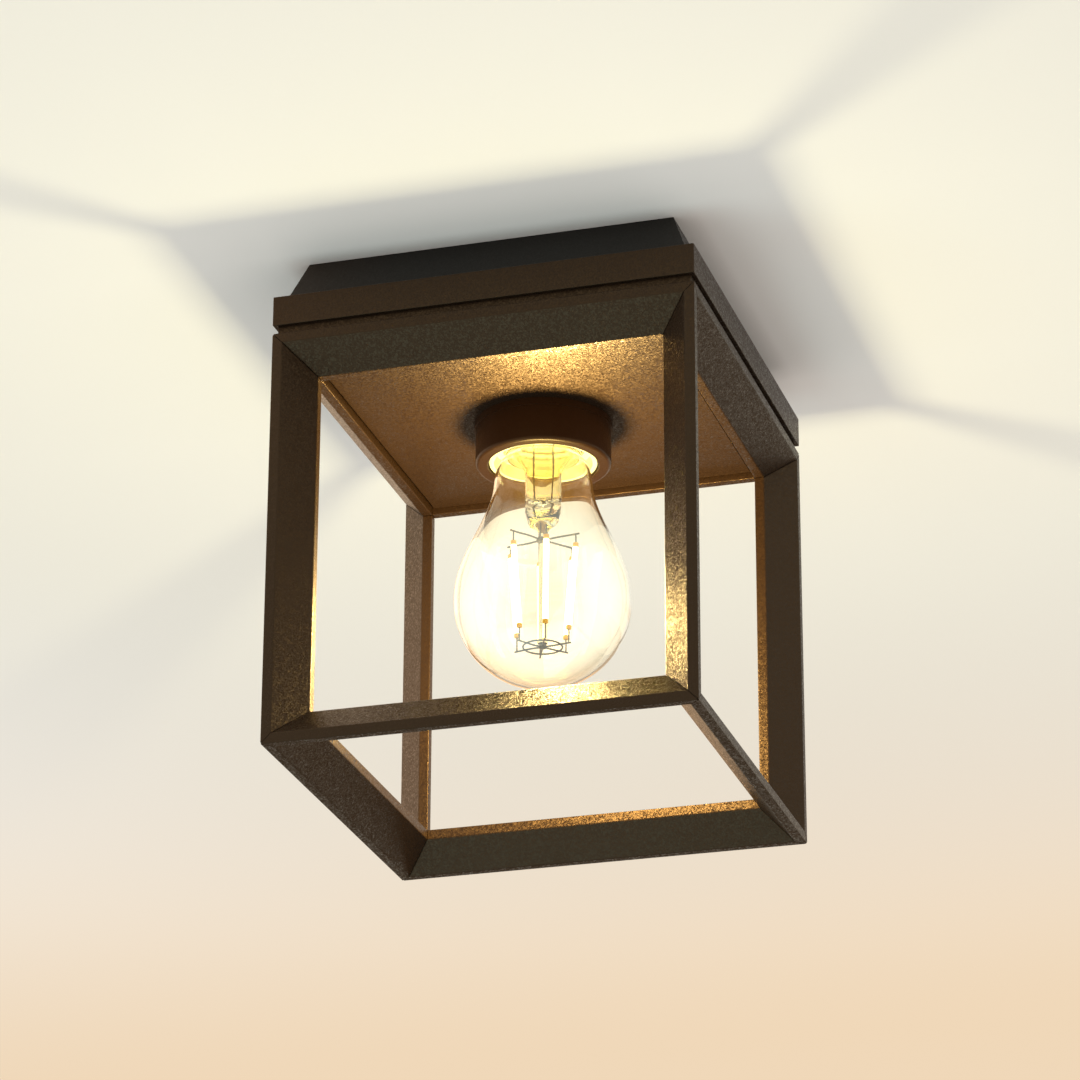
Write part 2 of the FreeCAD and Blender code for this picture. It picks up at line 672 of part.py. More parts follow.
def top_cap():
    """Cast square cap, open below, with two lugs that reach up into the base."""
    shell = square("plan_half", ("cap_low", "base_low"))
    lugs = []
    tools = []
    for along, sign in SIDES:
        near = "lug_face - lug_thick"
        ends = ("-lug_face", "-(%s)" % near) if sign else (near, "lug_face")
        lugs.append(box(ends, ("-lug_width / 2", "lug_width / 2"), ("base_low", "-lug_top_drop")))
        tapped = "screw_radius + fit_gap"
        spot = dict(z="-side_screw_drop", along=along)
        tools.append(rod(tapped, ("%s - overrun" % near, "lug_face + overrun"), **spot))
    bosses = []
    for a, b in CORNERS:
        x = a + "cap_screw_at"
        y = b + "cap_screw_at"
        bosses.append(rod("cap_boss_radius", ("cap_low", "cap_ceiling"), x, y))
        tools.append(rod("screw_radius + screw_clear", ("cap_low", "base_low"), x, y))
    cavity = square("plan_half - cap_wall", ("cap_low", "cap_ceiling"))
    tools.append(without(cavity, bosses))
    seal_outer = square("base_low_half - seal_margin", ("base_low - seal_depth", "base_low"))
    seal_inner = square("base_low_half - seal_margin - seal_width", ("base_low - seal_depth", "base_low"))
    tools.append(without(seal_outer, [seal_inner]))
    tools.append(rod("nipple_radius + screw_clear", ("cap_ceiling", "base_low")))
    return keep("top_cap", without(joined([shell] + lugs), tools))


def cap_gasket():
    """Seal in the cap's groove, under the base's rim."""
    span = ("base_low - seal_depth", "base_low")
    outer = square("base_low_half - seal_margin - fit_gap", span)
    inner = square("base_low_half - seal_margin - seal_width + fit_gap", span)
    return keep("cap_gasket", without(outer, [inner]))


def cap_screws():
    screws = []
    for a, b in CORNERS:
        x = a + "cap_screw_at"
        y = b + "cap_screw_at"
        spot = ("base_low", "cage_top + end_gap", x, y)
        screws.append(slotted_screw("screw_radius", "head_radius", "head_height", *spot))
    return group("cap_screws", screws)


def neck_plate():
    """Plate between cap and cage. Its edge is the face at the back of the shadow gap."""
    plate = square("neck_half", ("cage_top", "cap_low"))
    tools = [rod("opening_radius", ("cage_top", "cap_low"))]
    for a, b in CORNERS:
        at_screw = (a + "cap_screw_at", b + "cap_screw_at")
        at_stud = (a + "stud_at", b + "stud_at")
        tools.append(rod("screw_radius + fit_gap", ("cage_top", "cap_low"), *at_screw))
        tools.append(rod("screw_radius + screw_clear", ("cage_top", "cap_low"), *at_stud))
    return keep("neck_plate", without(plate, tools))


# ---------------------------------------------------------------- cage
def mitred_bar(name, run, start, ways):
    """One bar of the cage.

    Lying on its own axes, the bar runs along X from its outer corner. Its section is a square
    with the two corners beside the openings bevelled off, and each end is mitred both ways, so
    that three bars close every corner of the cage. ways are the world directions of the bar's
    run and of the two directions that lead inwards.
    """
    body = doc.addObject("PartDesign::Body", name)
    doc.recompute()
    edge = "bar_width - bar_lip"
    corners = [("0", "0"), ("bar_lip", "0"), ("bar_width", edge)]
    corners += [("bar_width", "bar_width"), (edge, "bar_width"), ("0", "bar_lip")]
    pad = body.newObject("PartDesign::Pad", "length_of_bar")
    pad.Profile = outline(body, "YZ_Plane", [corners])
    bind(pad, Length=run)
    doc.recompute()
    near = [("0", "0"), ("0", "bar_width"), ("bar_width", "bar_width")]
    far = [(run, "0"), (run, "bar_width"), ("%s - bar_width" % run, "bar_width")]
    for role, backwards in (("XY_Plane", True), ("XZ_Plane", False)):
        mitre = body.newObject("PartDesign::Pocket", "mitres")
        mitre.Profile = outline(body, role, [near, far])
        mitre.Type = "ThroughAll"
        mitre.Reversed = backwards
        doc.recompute()
    turn = FreeCAD.Rotation(Vector(*ways[0]), Vector(*ways[1]), Vector(*ways[2]), "XYZ")
    place(body, start[0], start[1], start[2], turn)
    return keep(name, body)


def cage():
    """Four top rails, four posts and four bottom rails."""
    low = "-plan_half"
    high = "plan_half"
    east, north, up = (1, 0, 0), (0, 1, 0), (0, 0, 1)
    west, south, down = (-1, 0, 0), (0, -1, 0), (0, 0, -1)
    for storey, z, into in (("top", "cage_top", down), ("bottom", "cage_low", up)):
        front = (east, north, up) if into == up else (east, down, north)
        back = (east, up, south) if into == up else (east, south, down)
        left = (north, up, east) if into == up else (north, east, down)
        right = (north, west, up) if into == up else (north, down, west)
        mitred_bar("front_%s_rail" % storey, "plan_width", (low, low, z), front)
        mitred_bar("back_%s_rail" % storey, "plan_width", (low, high, z), back)
        mitred_bar("left_%s_rail" % storey, "plan_width", (low, low, z), left)
        mitred_bar("right_%s_rail" % storey, "plan_width", (high, low, z), right)
    mitred_bar("front_left_post", "cage_height", (low, low, "cage_low"), (up, east, north))
    mitred_bar("front_right_post", "cage_height", (high, low, "cage_low"), (up, north, west))
    mitred_bar("back_left_post", "cage_height", (low, high, "cage_low"), (up, south, east))
    mitred_bar("back_right_post", "cage_height", (high, high, "cage_low"), (up, west, south))


# ---------------------------------------------------------------- inner panel
SHROUD_SCREW_ANGLES = (90, 210, 330)


def around(angle):
    """X and Y formulas of a place on the shroud's screw circle."""
    turn = math.radians(angle)
    return "shroud_middle * %.6f" % math.cos(turn), "shroud_middle * %.6f" % math.sin(turn)


def cover_panel():
    """Flat sheet inside the top rails. Its studs are pressed in from above, out of sight."""
    sheet_metal = square("panel_half", ("panel_low", "panel_top"))
    tools = [rod("skirt_radius + fit_gap", ("panel_low", "panel_top"))]
    for a, b in CORNERS:
        foot = ("panel_top - stud_sink", "panel_top")
        tools.append(rod("screw_radius + fit_gap", foot, a + "stud_at", b + "stud_at"))
    for angle in SHROUD_SCREW_ANGLES:
        hole = "shroud_screw_radius + screw_clear"
        tools.append(rod(hole, ("panel_low", "panel_top"), *around(angle)))
    return keep("cover_panel", without(sheet_metal, tools))


def panel_fixings():
    """Four studs, the spacer tubes round them, and the nuts above the neck plate."""
    studs = []
    spacers = []
    nuts = []
    for a, b in CORNERS:
        spot = (a + "stud_at", b + "stud_at")
        studs.append(rod("screw_radius", ("panel_top - stud_sink", "cap_low + stud_above"), *spot))
        bore = "screw_radius + screw_clear"
        tube = rod("%s + spacer_wall" % bore, ("panel_top", "cage_top"), *spot)
        spacers.append(without(tube, [rod(bore, ("panel_top", "cage_top"), *spot)]))
        span = ("cap_low", "cap_low + nut_height")
        thread = rod("screw_radius + fit_gap", span, *spot)
        nuts.append(without(hexagon("nut_radius", span, *spot), [thread]))
    group("panel_studs", studs)
    group("panel_spacers", spacers)
    group("panel_nuts", nuts)


# ---------------------------------------------------------------- lampholder
def round_edges(body, radius, near_radius, at_level):
    """Round the circular edges of a turned body that lie at one radius and level."""
    blank = body.Tip
    chosen = []
    for index, edge in enumerate(blank.Shape.Edges, start=1):
        curve = edge.Curve
        if not isinstance(curve, Part.Circle):
            continue
        if abs(curve.Radius - near_radius) < 0.01 and abs(curve.Center.z - at_level) < 0.01:
            chosen.append("Edge%d" % index)
    rounding = body.newObject("PartDesign::Fillet", "rounding")
    rounding.Base = (blank, chosen)
    bind(rounding, Radius=radius)
    doc.recompute()


def holder_shroud():
    """Round shroud with a slightly wider collar under the panel and a rounded lower rim."""
    collar_low = "panel_low - collar_height"
    profile = [
        ("shroud_mouth", "shroud_low"),
        ("shroud_radius", "shroud_low"),
        ("shroud_radius", collar_low),
        ("shroud_radius + collar_step", collar_low),
        ("shroud_radius + collar_step", "panel_low"),
        ("shroud_mouth", "panel_low"),
    ]
    body = turned("shroud_blank", profile)
    rim = number("shroud_low")
    round_edges(body, "shroud_outer_round", number("shroud_radius"), rim)
    round_edges(body, "shroud_inner_round", number("shroud_mouth"), rim)
    holes = []
    for angle in SHROUD_SCREW_ANGLES:
        depth = ("panel_top - shroud_screw_length - blind_room", "panel_low")
        holes.append(rod("shroud_screw_radius + fit_gap", depth, *around(angle)))
    return keep("holder_shroud", without(body, holes))


def shroud_screws():
    screws = []
    for angle in SHROUD_SCREW_ANGLES:
        x, y = around(angle)
        tip = "panel_top - shroud_screw_length"
        small = ("shroud_screw_radius", "shroud_head_radius", "shroud_head_height")
        screws.append(slotted_screw(*small, "panel_top", tip, x, y))
    return group("shroud_screws", screws)


def holder_body():
    """Porcelain lampholder. Its skirt shows in the shroud's mouth."""
    mouth_top = "skirt_low + skirt_depth"
    shoulder = "cap_ceiling - shoulder_height"
    profile = [
        ("0", "holder_floor"),
        ("contact_bore", "holder_floor"),
        ("contact_bore", "shell_top"),
        ("shell_bore", "shell_top"),
        ("shell_bore", mouth_top),
        ("skirt_bore", mouth_top),
        ("skirt_bore", "skirt_low"),
        ("skirt_radius", "skirt_low"),
        ("skirt_radius", shoulder),
        ("skirt_radius - shoulder_in", "cap_ceiling"),
        ("nipple_radius + fit_gap", "cap_ceiling"),
        ("nipple_radius + fit_gap", "holder_floor + floor_thick"),
        ("0", "holder_floor + floor_thick"),
    ]
    porcelain = turned("porcelain_blank", profile)
    holes = []
    for y in ("lead_spacing", "-lead_spacing"):
        span = ("holder_floor", "holder_floor + floor_thick")
        holes.append(rod("lead_radius + screw_clear", span, "0", y))
    return keep("holder_body", without(porcelain, holes))


def rolled_tube(profile, swing, levels_up, phase_at):
    """A thin tube whose wall waves in a right-hand spiral, as a rolled lamp thread does.

    profile gives the plain radius at a level, and swing the depth of the wave there. The wall
    is a smooth periodic surface through poles on rings. Such a surface runs a little inside its
    poles, by a known share for each direction, so the poles stand that much further out.
    """
    around_count = 24
    step = 2 * math.pi / around_count
    ring_share = (2 + math.cos(step)) / 3
    pitch = number("thread_pitch")
    rise = levels_up[1] - levels_up[0]
    wave_share = (2 + math.cos(2 * math.pi * rise / pitch)) / 3 * ring_share
    poles = []
    for index in range(around_count):
        angle = index * step
        column = []
        for z in levels_up:
            phase = 2 * math.pi * (z - phase_at) / pitch - angle
            radius = profile(z) / ring_share + swing(z) * math.cos(phase) / wave_share
            column.append(Vector(radius * math.cos(angle), radius * math.sin(angle), z))
        poles.append(column)
    surface = Part.BSplineSurface()
    up_count = len(levels_up)
    up_knots = list(range(up_count - 2))
    up_mults = [4] + [1] * (up_count - 4) + [4]
    around_knots = list(range(around_count + 1))
    around_mults = [1] * (around_count + 1)
    surface.buildFromPolesMultsKnots(
        poles, around_mults, up_mults, around_knots, up_knots, True, False, 3, 3
    )
    return surface.toShape()


def threaded_shell(inner_profile, thick, swing, low, high, phase_at):
    """A closed solid between an inner and an outer rolled wall."""
    rings_per_turn = 10
    count = int(round((high - low) / number("thread_pitch") * rings_per_turn))
    rise = (high - low) / count
    levels_up = [low + rise * index for index in range(count + 1)]
    inner = rolled_tube(inner_profile, swing, levels_up, phase_at)
    outer = rolled_tube(lambda z: inner_profile(z) + thick, swing, levels_up, phase_at)
    faces = [inner, outer]
    for z in (low, high):
        rims = []
        for wall in (outer, inner):
            for edge in wall.Edges:
                box_of_edge = edge.BoundBox
                if box_of_edge.ZLength < 1e-3 and abs(box_of_edge.ZMin - z) < 1e-3:
                    rims.append(Part.Wire([edge]))
        faces.append(Part.makeFace(rims, "Part::FaceMakerBullseye"))
    shell = Part.makeShell(faces)
    shell.sewShape()
    solid = Part.makeSolid(shell)
    if solid.Volume < 0:
        solid.reverse()
    return solid


# share of a turn over which a rolled thread runs out at its ends
RUN_OUT = 0.7


def faded(z, low, high):
    """1 in the middle of a span, falling smoothly to 0 at both ends."""
    fade = number("thread_pitch") * RUN_OUT
    share = min(z - low, high - z) / fade
    share = max(0.0, min(1.0, share))
    return share * share * (3 - 2 * share)


def holder_shell():
    """Threaded metal shell of the lampholder. Its thread runs out into a flare at each end."""
    low = number("shell_low")
    high = number("shell_top") - number("fit_gap")
    mean = number("thread_mean") + number("thread_gap")
    wave = number("thread_wave")

    def swing(z):
        return wave * faded(z, low, high)

    def flared(z):
        return mean + wave - swing(z)

    solid = threaded_shell(flared, number("shell_thick"), swing, low, high, low)
    return made("holder_shell", solid)


def strip(name, points, near_edge, width):
    """A bent contact strip: an outline in X and Z, drawn along Y."""
    corners = [Vector(x, near_edge, z) for x, z in points]
    face = Part.Face(Part.makePolygon(corners + [corners[0]]))
    return made(name, face.extrude(Vector(0, width, 0)))


def holder_contacts():
    """Sprung centre contact, and the strip that leads from the side wire to the shell."""
    floor = number("holder_floor") - number("fit_gap")
    thick = number("strip_thick")
    gap = number("touch_gap")
    near = number("strip_near")
    far = number("strip_far")
    touch = number("lamp_top") + gap
    lift = number("tongue_lift")
    bend = number("tongue_end")
    tip = bend + 2.8 * lift
    points = [
        (-far, floor),
        (near, floor),
        (near, floor - thick),
        (4 * thick - far, floor - thick),
        (bend, touch + thick),
        (tip, touch + thick + lift),
        (tip, touch + lift),
        (bend, touch),
        (-far, floor - 1.4 * thick),
    ]
    strip("holder_centre_contact", points, number("strip_offset"), number("strip_width"))
    leg = number("contact_bore") - number("side_strip_inset")
    widest = number("thread_mean") + number("thread_gap") + number("thread_wave")
    toe = widest - number("toe_inset")
    foot = number("shell_top") - gap
    points = [
        (-near, floor),
        (leg, floor),
        (leg, foot),
        (toe, foot),
        (toe, foot - thick),
        (leg - thick, foot - thick),
        (leg - thick, floor - thick),
        (-near, floor - thick),
    ]
    strip("holder_side_contact", points, -near, number("side_strip_width"))


def holder_fixings():
    """Hollow threaded tube, washer and nut that hang the lampholder from the cap."""
    low = "holder_floor + floor_thick + fit_gap"
    top = "pole_level - nipple_under"
    nipple = without(rod("nipple_radius", (low, top)), [rod("nipple_bore", (low, top))])
    keep("holder_nipple", nipple)
    hole = "nipple_radius + fit_gap"
    span = ("base_low", "base_low + washer_thick")
    keep("nipple_washer", without(rod("washer_radius", span), [rod(hole, span)]))
    span = (span[1], "%s + nipple_nut_height" % span[1])
    keep("nipple_nut", without(hexagon("nipple_nut_radius", span), [rod(hole, span)]))


# ---------------------------------------------------------------- internal leads
def lead(name, corners, share=0.45):
    """An insulated lead: straight runs joined by tangent arcs, as large as the runs allow."""
    corners = [Vector(*corner) for corner in corners]
    radius = number("lead_radius")
    pieces = []
    length = 0
    start = corners[0]
    for before, corner, after in zip(corners, corners[1:], corners[2:]):
        back = before - corner
        ahead = after - corner
        turn = math.pi - back.getAngle(ahead)
        reach = share * min(back.Length, ahead.Length)
        bend = reach / math.tan(turn / 2)
        into = corner + back.normalize() * reach
        out = corner + ahead.normalize() * reach
        towards_middle = (into + out - corner * 2).normalize()
        middle = corner + towards_middle * (bend / math.cos(turn / 2))
        axis = (back * -1).cross(ahead)
        section = Part.Face(Part.Wire([Part.makeCircle(radius, into, back)]))
        pieces.append(wire_between(start, into, radius))
        pieces.append(section.revolve(middle, axis, math.degrees(turn)))
        length += (into - start).Length + bend * turn
        start = out
        print("  arc radius %.1f mm" % bend)
    pieces.append(wire_between(start, corners[-1], radius))
    length += (corners[-1] - start).Length
    tube = pieces[0].fuse(pieces[1:]).removeSplitter()
    expected = math.pi * radius * radius * length
    print("%s: volume %.1f of %.1f mm3" % (name, tube.Volume, expected))
    return made(name, tube)


def leads():
    """Live and neutral climb out of the nipple to their poles; earth runs to its tag."""
    foot = number("holder_floor") + number("fit_gap")
    pole = number("pole_level")
    spacing = number("lead_spacing")
    pitch = number("pole_pitch")
    end = number("block_x") + number("clamp_screw_offset") - number("lead_stop")
    face = number("block_x") + number("block_length") / 2
    rise = (0, spacing, foot), (0, spacing, pole), (face + 11, spacing + 0.6, pole)
    lead("live_lead", rise + ((face + 3, pitch, pole), (end, pitch, pole)))
    rise = (0, -spacing, foot), (0, -spacing, pole), (face + 11, -spacing + 0.4, pole)
    lead("neutral_lead", rise + ((face + 4, 0, pole), (end, 0, pole)))
    grip = number("barrel_axis")
    inside = number("barrel_near") + number("barrel_length") / 2 - 0.5
    y = number("earth_y")
    route = (end, -pitch, pole), (face + 4, -pitch, pole), (face + 9, -pitch - 7, pole)
    route += (face + 9, y + 8, grip), (face + 4, y, grip), (inside, y, grip)
    lead("earth_lead", route)


# ---------------------------------------------------------------- lamp
def lamp_tip():
    """Centre contact and black insulator, which slide down with the lamp."""
    contact = rod("tip_radius", ("lamp_top - tip_height", "lamp_top"))
    rounding = doc.addObject("Part::Fillet", "contact_edge")
    rounding.Base = contact
    doc.recompute()
    edges = contact.Shape.Edges
    top = max(range(len(edges)), key=lambda spot: edges[spot].CenterOfMass.z)
    radius = number("tip_round")
    rounding.Edges = [(top + 1, radius, radius)]
    keep("bulb_contact", rounding)
    insulator = cone("vitrite_foot", "vitrite_top", ("vitrite_low", "lamp_top - tip_height"))
    keep("bulb_insulator", insulator)


def bulb_screw_cap():
    """Rolled metal cap: curled edge round the insulator, thread, and a plain skirt on the glass."""
    high = number("vitrite_low") + number("cap_grip")
    low = number("lamp_edge")
    sheet_metal = number("cap_sheet")
    wave = number("thread_wave")
    mean = number("thread_mean") - sheet_metal
    curled = number("vitrite_foot") + number("cap_curl")
    skirt = mean + 0.6 * wave
    thread_low = number("shell_low") - number("skirt_clear") + sheet_metal
    skirt_slope = 2.7 * wave
    curl_height = 2.0
    middle = (thread_low + high) / 2

    def swing(z):
        return wave * faded(z, thread_low, high - curl_height / 2)

    def plain_radius(z):
        if z < thread_low:
            return mean + (skirt - mean) * min(1.0, (thread_low - z) / skirt_slope)
        tapered = mean
        if z > middle:
            tapered = mean - wave + swing(z)
        share = max(0.0, min(1.0, (high - z) / curl_height))
        return curled + (tapered - curled) * math.sin(share * math.pi / 2)

    solid = threaded_shell(plain_radius, sheet_metal, swing, low, high, number("shell_low"))
    return made("bulb_screw_cap", solid)


def glass_outline(inset):
    """Half outline of the bulb, from its neck to its tip, set in by a wall's thickness."""
    edge = number("lamp_edge")
    radius = number("lamp_radius")
    low = number("lamp_low")
    equator = low + radius
    span = edge - equator
    neck = number("thread_mean") - number("neck_inset")
    # poles of the side: share of the way out from the neck to the widest radius, and share of
    # the way down from the cap's edge to the widest level
    shape = ((0, -0.07), (0, -0.03), (0.014, 0.0), (0.105, 0.03), (0.19, 0.065), (0.243, 0.12))
    shape += ((0.27, 0.20), (0.298, 0.30), (0.442, 0.43), (0.63, 0.57), (0.823, 0.71))
    shape += ((0.967, 0.85), (1, 0.94), (1, 1))
    poles = []
    for bulge, share in shape:
        across = neck + bulge * (radius - neck)
        poles.append(Vector(across - inset, 0, edge - span * share))
    side = Part.BSplineCurve()
    side.buildFromPoles(poles, False, 3)
    slant = math.sqrt(0.5) * (radius - inset)
    tip = Vector(0, 0, low + inset)
    dome = Part.Arc(poles[-1], Vector(slant, 0, equator - slant), tip)
    return side, dome, poles[0], tip


def bulb_glass():
    """Clear blown envelope, open at the neck where the stem is sealed in."""
    outer_side, outer_dome, outer_rim, outer_tip = glass_outline(0.0)
    inner_side, inner_dome, inner_rim, inner_tip = glass_outline(number("glass_wall"))
    edges = [outer_side.toShape(), outer_dome.toShape()]
    edges.append(Part.LineSegment(outer_tip, inner_tip).toShape())
    edges += [inner_dome.toShape(), inner_side.toShape()]
    edges.append(Part.LineSegment(inner_rim, outer_rim).toShape())
    face = Part.Face(Part.Wire(Part.__sortEdges__(edges)))
    return made("bulb_glass", face.revolve(Vector(0, 0, 0), Vector(0, 0, 1), 360))


def bulb_stem():
    """Flared tube sealed into the neck, pinched shut below, with a thin rod under it."""
    hollow = "stem_radius - stem_wall"
    rim = "thread_mean - flare_inset"
    profile = [
        (hollow, "lamp_edge - flare_drop + stem_wall"),
        ("%s - flare_wall" % rim, "lamp_edge + flare_rise"),
        (rim, "lamp_edge + flare_rise"),
        ("stem_radius", "lamp_edge - flare_drop"),
        ("stem_radius", "lamp_edge - tube_drop"),
        ("stem_radius - pinch_inset", "lamp_edge - pinch_drop"),
        ("rod_radius", "lamp_edge - pinch_drop - 1"),
        ("rod_radius", "lamp_edge - ring_drop + rod_stop"),
        ("0", "lamp_edge - ring_drop + rod_stop"),
        ("0", "lamp_edge - tube_drop - 1"),
        (hollow, "lamp_edge - tube_drop + stem_wall"),
    ]
    return keep("bulb_stem", turned("stem_blank", profile))


# the filaments stand evenly round the axis; the angle is counted from the right towards the back
FILAMENT_COUNT = 6
FIRST_FILAMENT = 51.8
FILAMENT_STEP = 360 / FILAMENT_COUNT
FILAMENT_ANGLES = [FIRST_FILAMENT + FILAMENT_STEP * turn for turn in range(FILAMENT_COUNT)]


def towards(angle, out, z):
    turn = math.radians(angle)
    return Vector(out * math.cos(turn), out * math.sin(turn), z)


def feed_wires():
    """Two wires in the stem, from the circuit board down to the pinch."""
    edge = number("lamp_edge")
    high = edge + number("board_rise") - number("fit_gap")
    low = edge - number("feed_wire_drop")
    wires = []
    for x in (-number("feed_wire_out"), number("feed_wire_out")):
        wires.append(wire_between(Vector(x, 0, high), Vector(x, 0, low), number("wire_radius")))
    return made("bulb_lead_wires", Part.makeCompound(wires))


def star_wires():
    """A hub on the glass rod with six wires, each with a thin wire down to a filament."""
    level_of_star = number("lamp_edge") - number("star_drop")
    under_hub = Vector(0, 0, level_of_star - number("hub_height") / 2)
    bore = number("rod_radius") + number("fit_gap")
    root = bore + number("spoke_grip")
    thin = number("thin_wire_radius")
    grip = number("lamp_edge") - number("filament_top_drop") + number("filament_grip")
    hub = Part.makeCylinder(bore + number("hub_wall"), number("hub_height"), under_hub)
    pieces = [hub.cut(Part.makeCylinder(bore, number("hub_height"), under_hub))]
    for angle in FILAMENT_ANGLES:
        start = towards(angle, root, level_of_star)
        end = towards(angle, number("star_out"), level_of_star)
        pieces.append(wire_between(start, end, number("wire_radius")))
        corner = towards(angle, number("filament_top_out"), level_of_star)
        hanging = towards(angle, number("filament_top_out"), grip)
        pieces.append(wire_between(corner, hanging, thin))
    # two of the gaps between the wires hold a riser up to the pinch, half a step round
    for angle in (FILAMENT_ANGLES[0], FILAMENT_ANGLES[FILAMENT_COUNT // 2]):
        foot = towards(angle + FILAMENT_STEP / 2, root, level_of_star)
        pinch = number("lamp_edge") - number("pinch_drop") - 4 * number("spoke_grip")
        pieces.append(wire_between(foot, Vector(foot.x, foot.y, pinch), thin))
    return made("bulb_top_wires", pieces[0].fuse(pieces[1:]))


def ring_wires():
    """A wire ring with six spokes, each with a thin wire up to a filament."""
    level_of_ring = number("lamp_edge") - number("ring_drop")
    reach = number("filament_low_out")
    thin = number("thin_wire_radius")
    grip = number("lamp_edge") - number("filament_low_drop") - number("filament_grip")
    hub_foot = Vector(0, 0, level_of_ring - number("ring_hub_below"))
    hub_radius = number("ring_hub_radius")
    pieces = [Part.makeTorus(number("ring_radius"), number("ring_wire_radius"), Vector(0, 0, level_of_ring))]
    pieces.append(Part.makeCylinder(hub_radius, number("ring_hub_height"), hub_foot))
    for angle in FILAMENT_ANGLES:
        start = towards(angle, hub_radius - number("spoke_grip"), level_of_ring)
        end = towards(angle, reach + number("spoke_past"), level_of_ring)
        pieces.append(wire_between(start, end, number("wire_radius")))
        corner = towards(angle, reach, level_of_ring)
        pieces.append(wire_between(corner, towards(angle, reach, grip), thin))
    return made("bulb_ring_wires", pieces[0].fuse(pieces[1:]))


def bulb_filaments():
    """Six coated LED sticks that lean in towards the ring, and their unlit yellow ends."""
    top = number("lamp_edge") - number("filament_top_drop")
    low = number("lamp_edge") - number("filament_low_drop")
    radius = number("filament_radius")
    # the unlit ends reach a little past the nominal ends, and a little way along the stick
    outside = 0.02
    inside = 0.05
    sticks = []
    ends = []
    for angle in FILAMENT_ANGLES:
        high_end = towards(angle, number("filament_top_out"), top)
        low_end = towards(angle, number("filament_low_out"), low)
        way = low_end - high_end
        first = high_end + way * inside
        last = low_end - way * inside
        sticks.append(wire_between(first, last, radius))
        ends.append(wire_between(high_end - way * outside, first, radius))
        ends.append(wire_between(last, low_end + way * outside, radius))
    made("bulb_filaments", Part.makeCompound(sticks))
    made("bulb_filament_ends", Part.makeCompound(ends))


def bulb_driver():
    """Small circuit board and capacitor inside the lamp's cap."""
    low = "lamp_edge + board_rise"
    high = "vitrite_low - board_room"
    faces = ("-board_thick / 2", "board_thick / 2")
    board = box(("-board_half", "board_half"), faces, (low, high))
    can = rod("can_radius", ("%s + can_rise" % low, "%s - can_room" % high), "0", "can_offset")
    return keep("bulb_driver", joined([board, can]))


# ---------------------------------------------------------------- the whole lantern
ceiling_gasket()
ceiling_base()
cable_grommet()
base_side_screws()
terminal_block()
terminal_clamps()
terminal_screws()
terminal_fixing_screws()
earth_tag()
earth_screw()
top_cap()
cap_gasket()
cap_screws()
neck_plate()
cage()
cover_panel()
panel_fixings()
holder_shroud()
shroud_screws()
holder_body()
holder_shell()
holder_contacts()
holder_fixings()
leads()
lamp_tip()
bulb_screw_cap()
bulb_glass()
bulb_stem()
feed_wires()
star_wires()
ring_wires()
bulb_filaments()
bulb_driver()
doc.recompute()

# ---------------------------------------------------------------- checks and files
for thing in doc.Objects:
    if "Invalid" in thing.State or "Error" in thing.State:
        raise RuntimeError("%s failed: %s" % (thing.Label, thing.State))
for part in subparts:
    if part.Shape.isNull() or not part.Shape.isValid() or not part.Shape.Solids:
        raise RuntimeError("%s has no valid solid" % part.Label)

os.makedirs("parts", exist_ok=True)
for part in subparts:
    part.Shape.exportStep(os.path.join("parts", part.Label + ".step"))
print("%d sub-parts written" % len(subparts))
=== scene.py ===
# %% [markdown]
# # A porch ceiling lantern
#
# This notebook dresses a lantern that was built in CAD: an open cage of square metal bars under a
# flat cap, with one clear filament bulb that is lit. The CAD pieces arrive as a fixed frame. They
# keep their places and shapes, and Blender gives them softened edges and real finishes. Pieces
# whose beauty is in a smooth or bent form (the blown glass, its stem, the wires and the glowing
# sticks) are modelled again here, where a mesh can be finer than a drawing needs to be.
#
# Everything is in metres. The ceiling is z = 0, the lantern hangs below it and faces -Y.

# %% Load the frame
import json
import math

import bmesh
import bpy
from mathutils import Matrix, Vector

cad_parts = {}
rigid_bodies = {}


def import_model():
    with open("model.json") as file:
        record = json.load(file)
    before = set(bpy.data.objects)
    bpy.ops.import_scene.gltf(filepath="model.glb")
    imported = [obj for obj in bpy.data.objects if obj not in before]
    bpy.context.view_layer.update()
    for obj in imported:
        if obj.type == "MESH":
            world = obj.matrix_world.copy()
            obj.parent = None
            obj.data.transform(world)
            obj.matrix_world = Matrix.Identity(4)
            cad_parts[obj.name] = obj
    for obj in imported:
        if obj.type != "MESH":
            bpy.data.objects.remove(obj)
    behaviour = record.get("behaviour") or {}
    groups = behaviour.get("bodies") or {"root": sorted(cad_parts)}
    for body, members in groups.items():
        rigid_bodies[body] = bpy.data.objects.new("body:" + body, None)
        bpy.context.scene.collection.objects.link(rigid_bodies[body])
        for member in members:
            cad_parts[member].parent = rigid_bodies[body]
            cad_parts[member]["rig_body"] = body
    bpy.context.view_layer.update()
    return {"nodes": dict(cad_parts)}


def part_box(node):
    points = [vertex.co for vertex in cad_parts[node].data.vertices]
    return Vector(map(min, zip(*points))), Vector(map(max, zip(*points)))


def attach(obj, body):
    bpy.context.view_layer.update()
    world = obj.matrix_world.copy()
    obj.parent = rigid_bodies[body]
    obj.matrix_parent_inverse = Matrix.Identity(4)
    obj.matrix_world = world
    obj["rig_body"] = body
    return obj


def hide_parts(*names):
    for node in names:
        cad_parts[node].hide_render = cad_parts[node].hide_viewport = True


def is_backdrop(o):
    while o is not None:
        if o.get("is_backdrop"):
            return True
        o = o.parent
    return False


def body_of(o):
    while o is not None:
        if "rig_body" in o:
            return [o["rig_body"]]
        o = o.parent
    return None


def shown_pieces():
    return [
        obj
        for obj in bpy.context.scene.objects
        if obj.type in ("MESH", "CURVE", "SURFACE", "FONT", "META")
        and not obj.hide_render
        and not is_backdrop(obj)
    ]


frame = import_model()
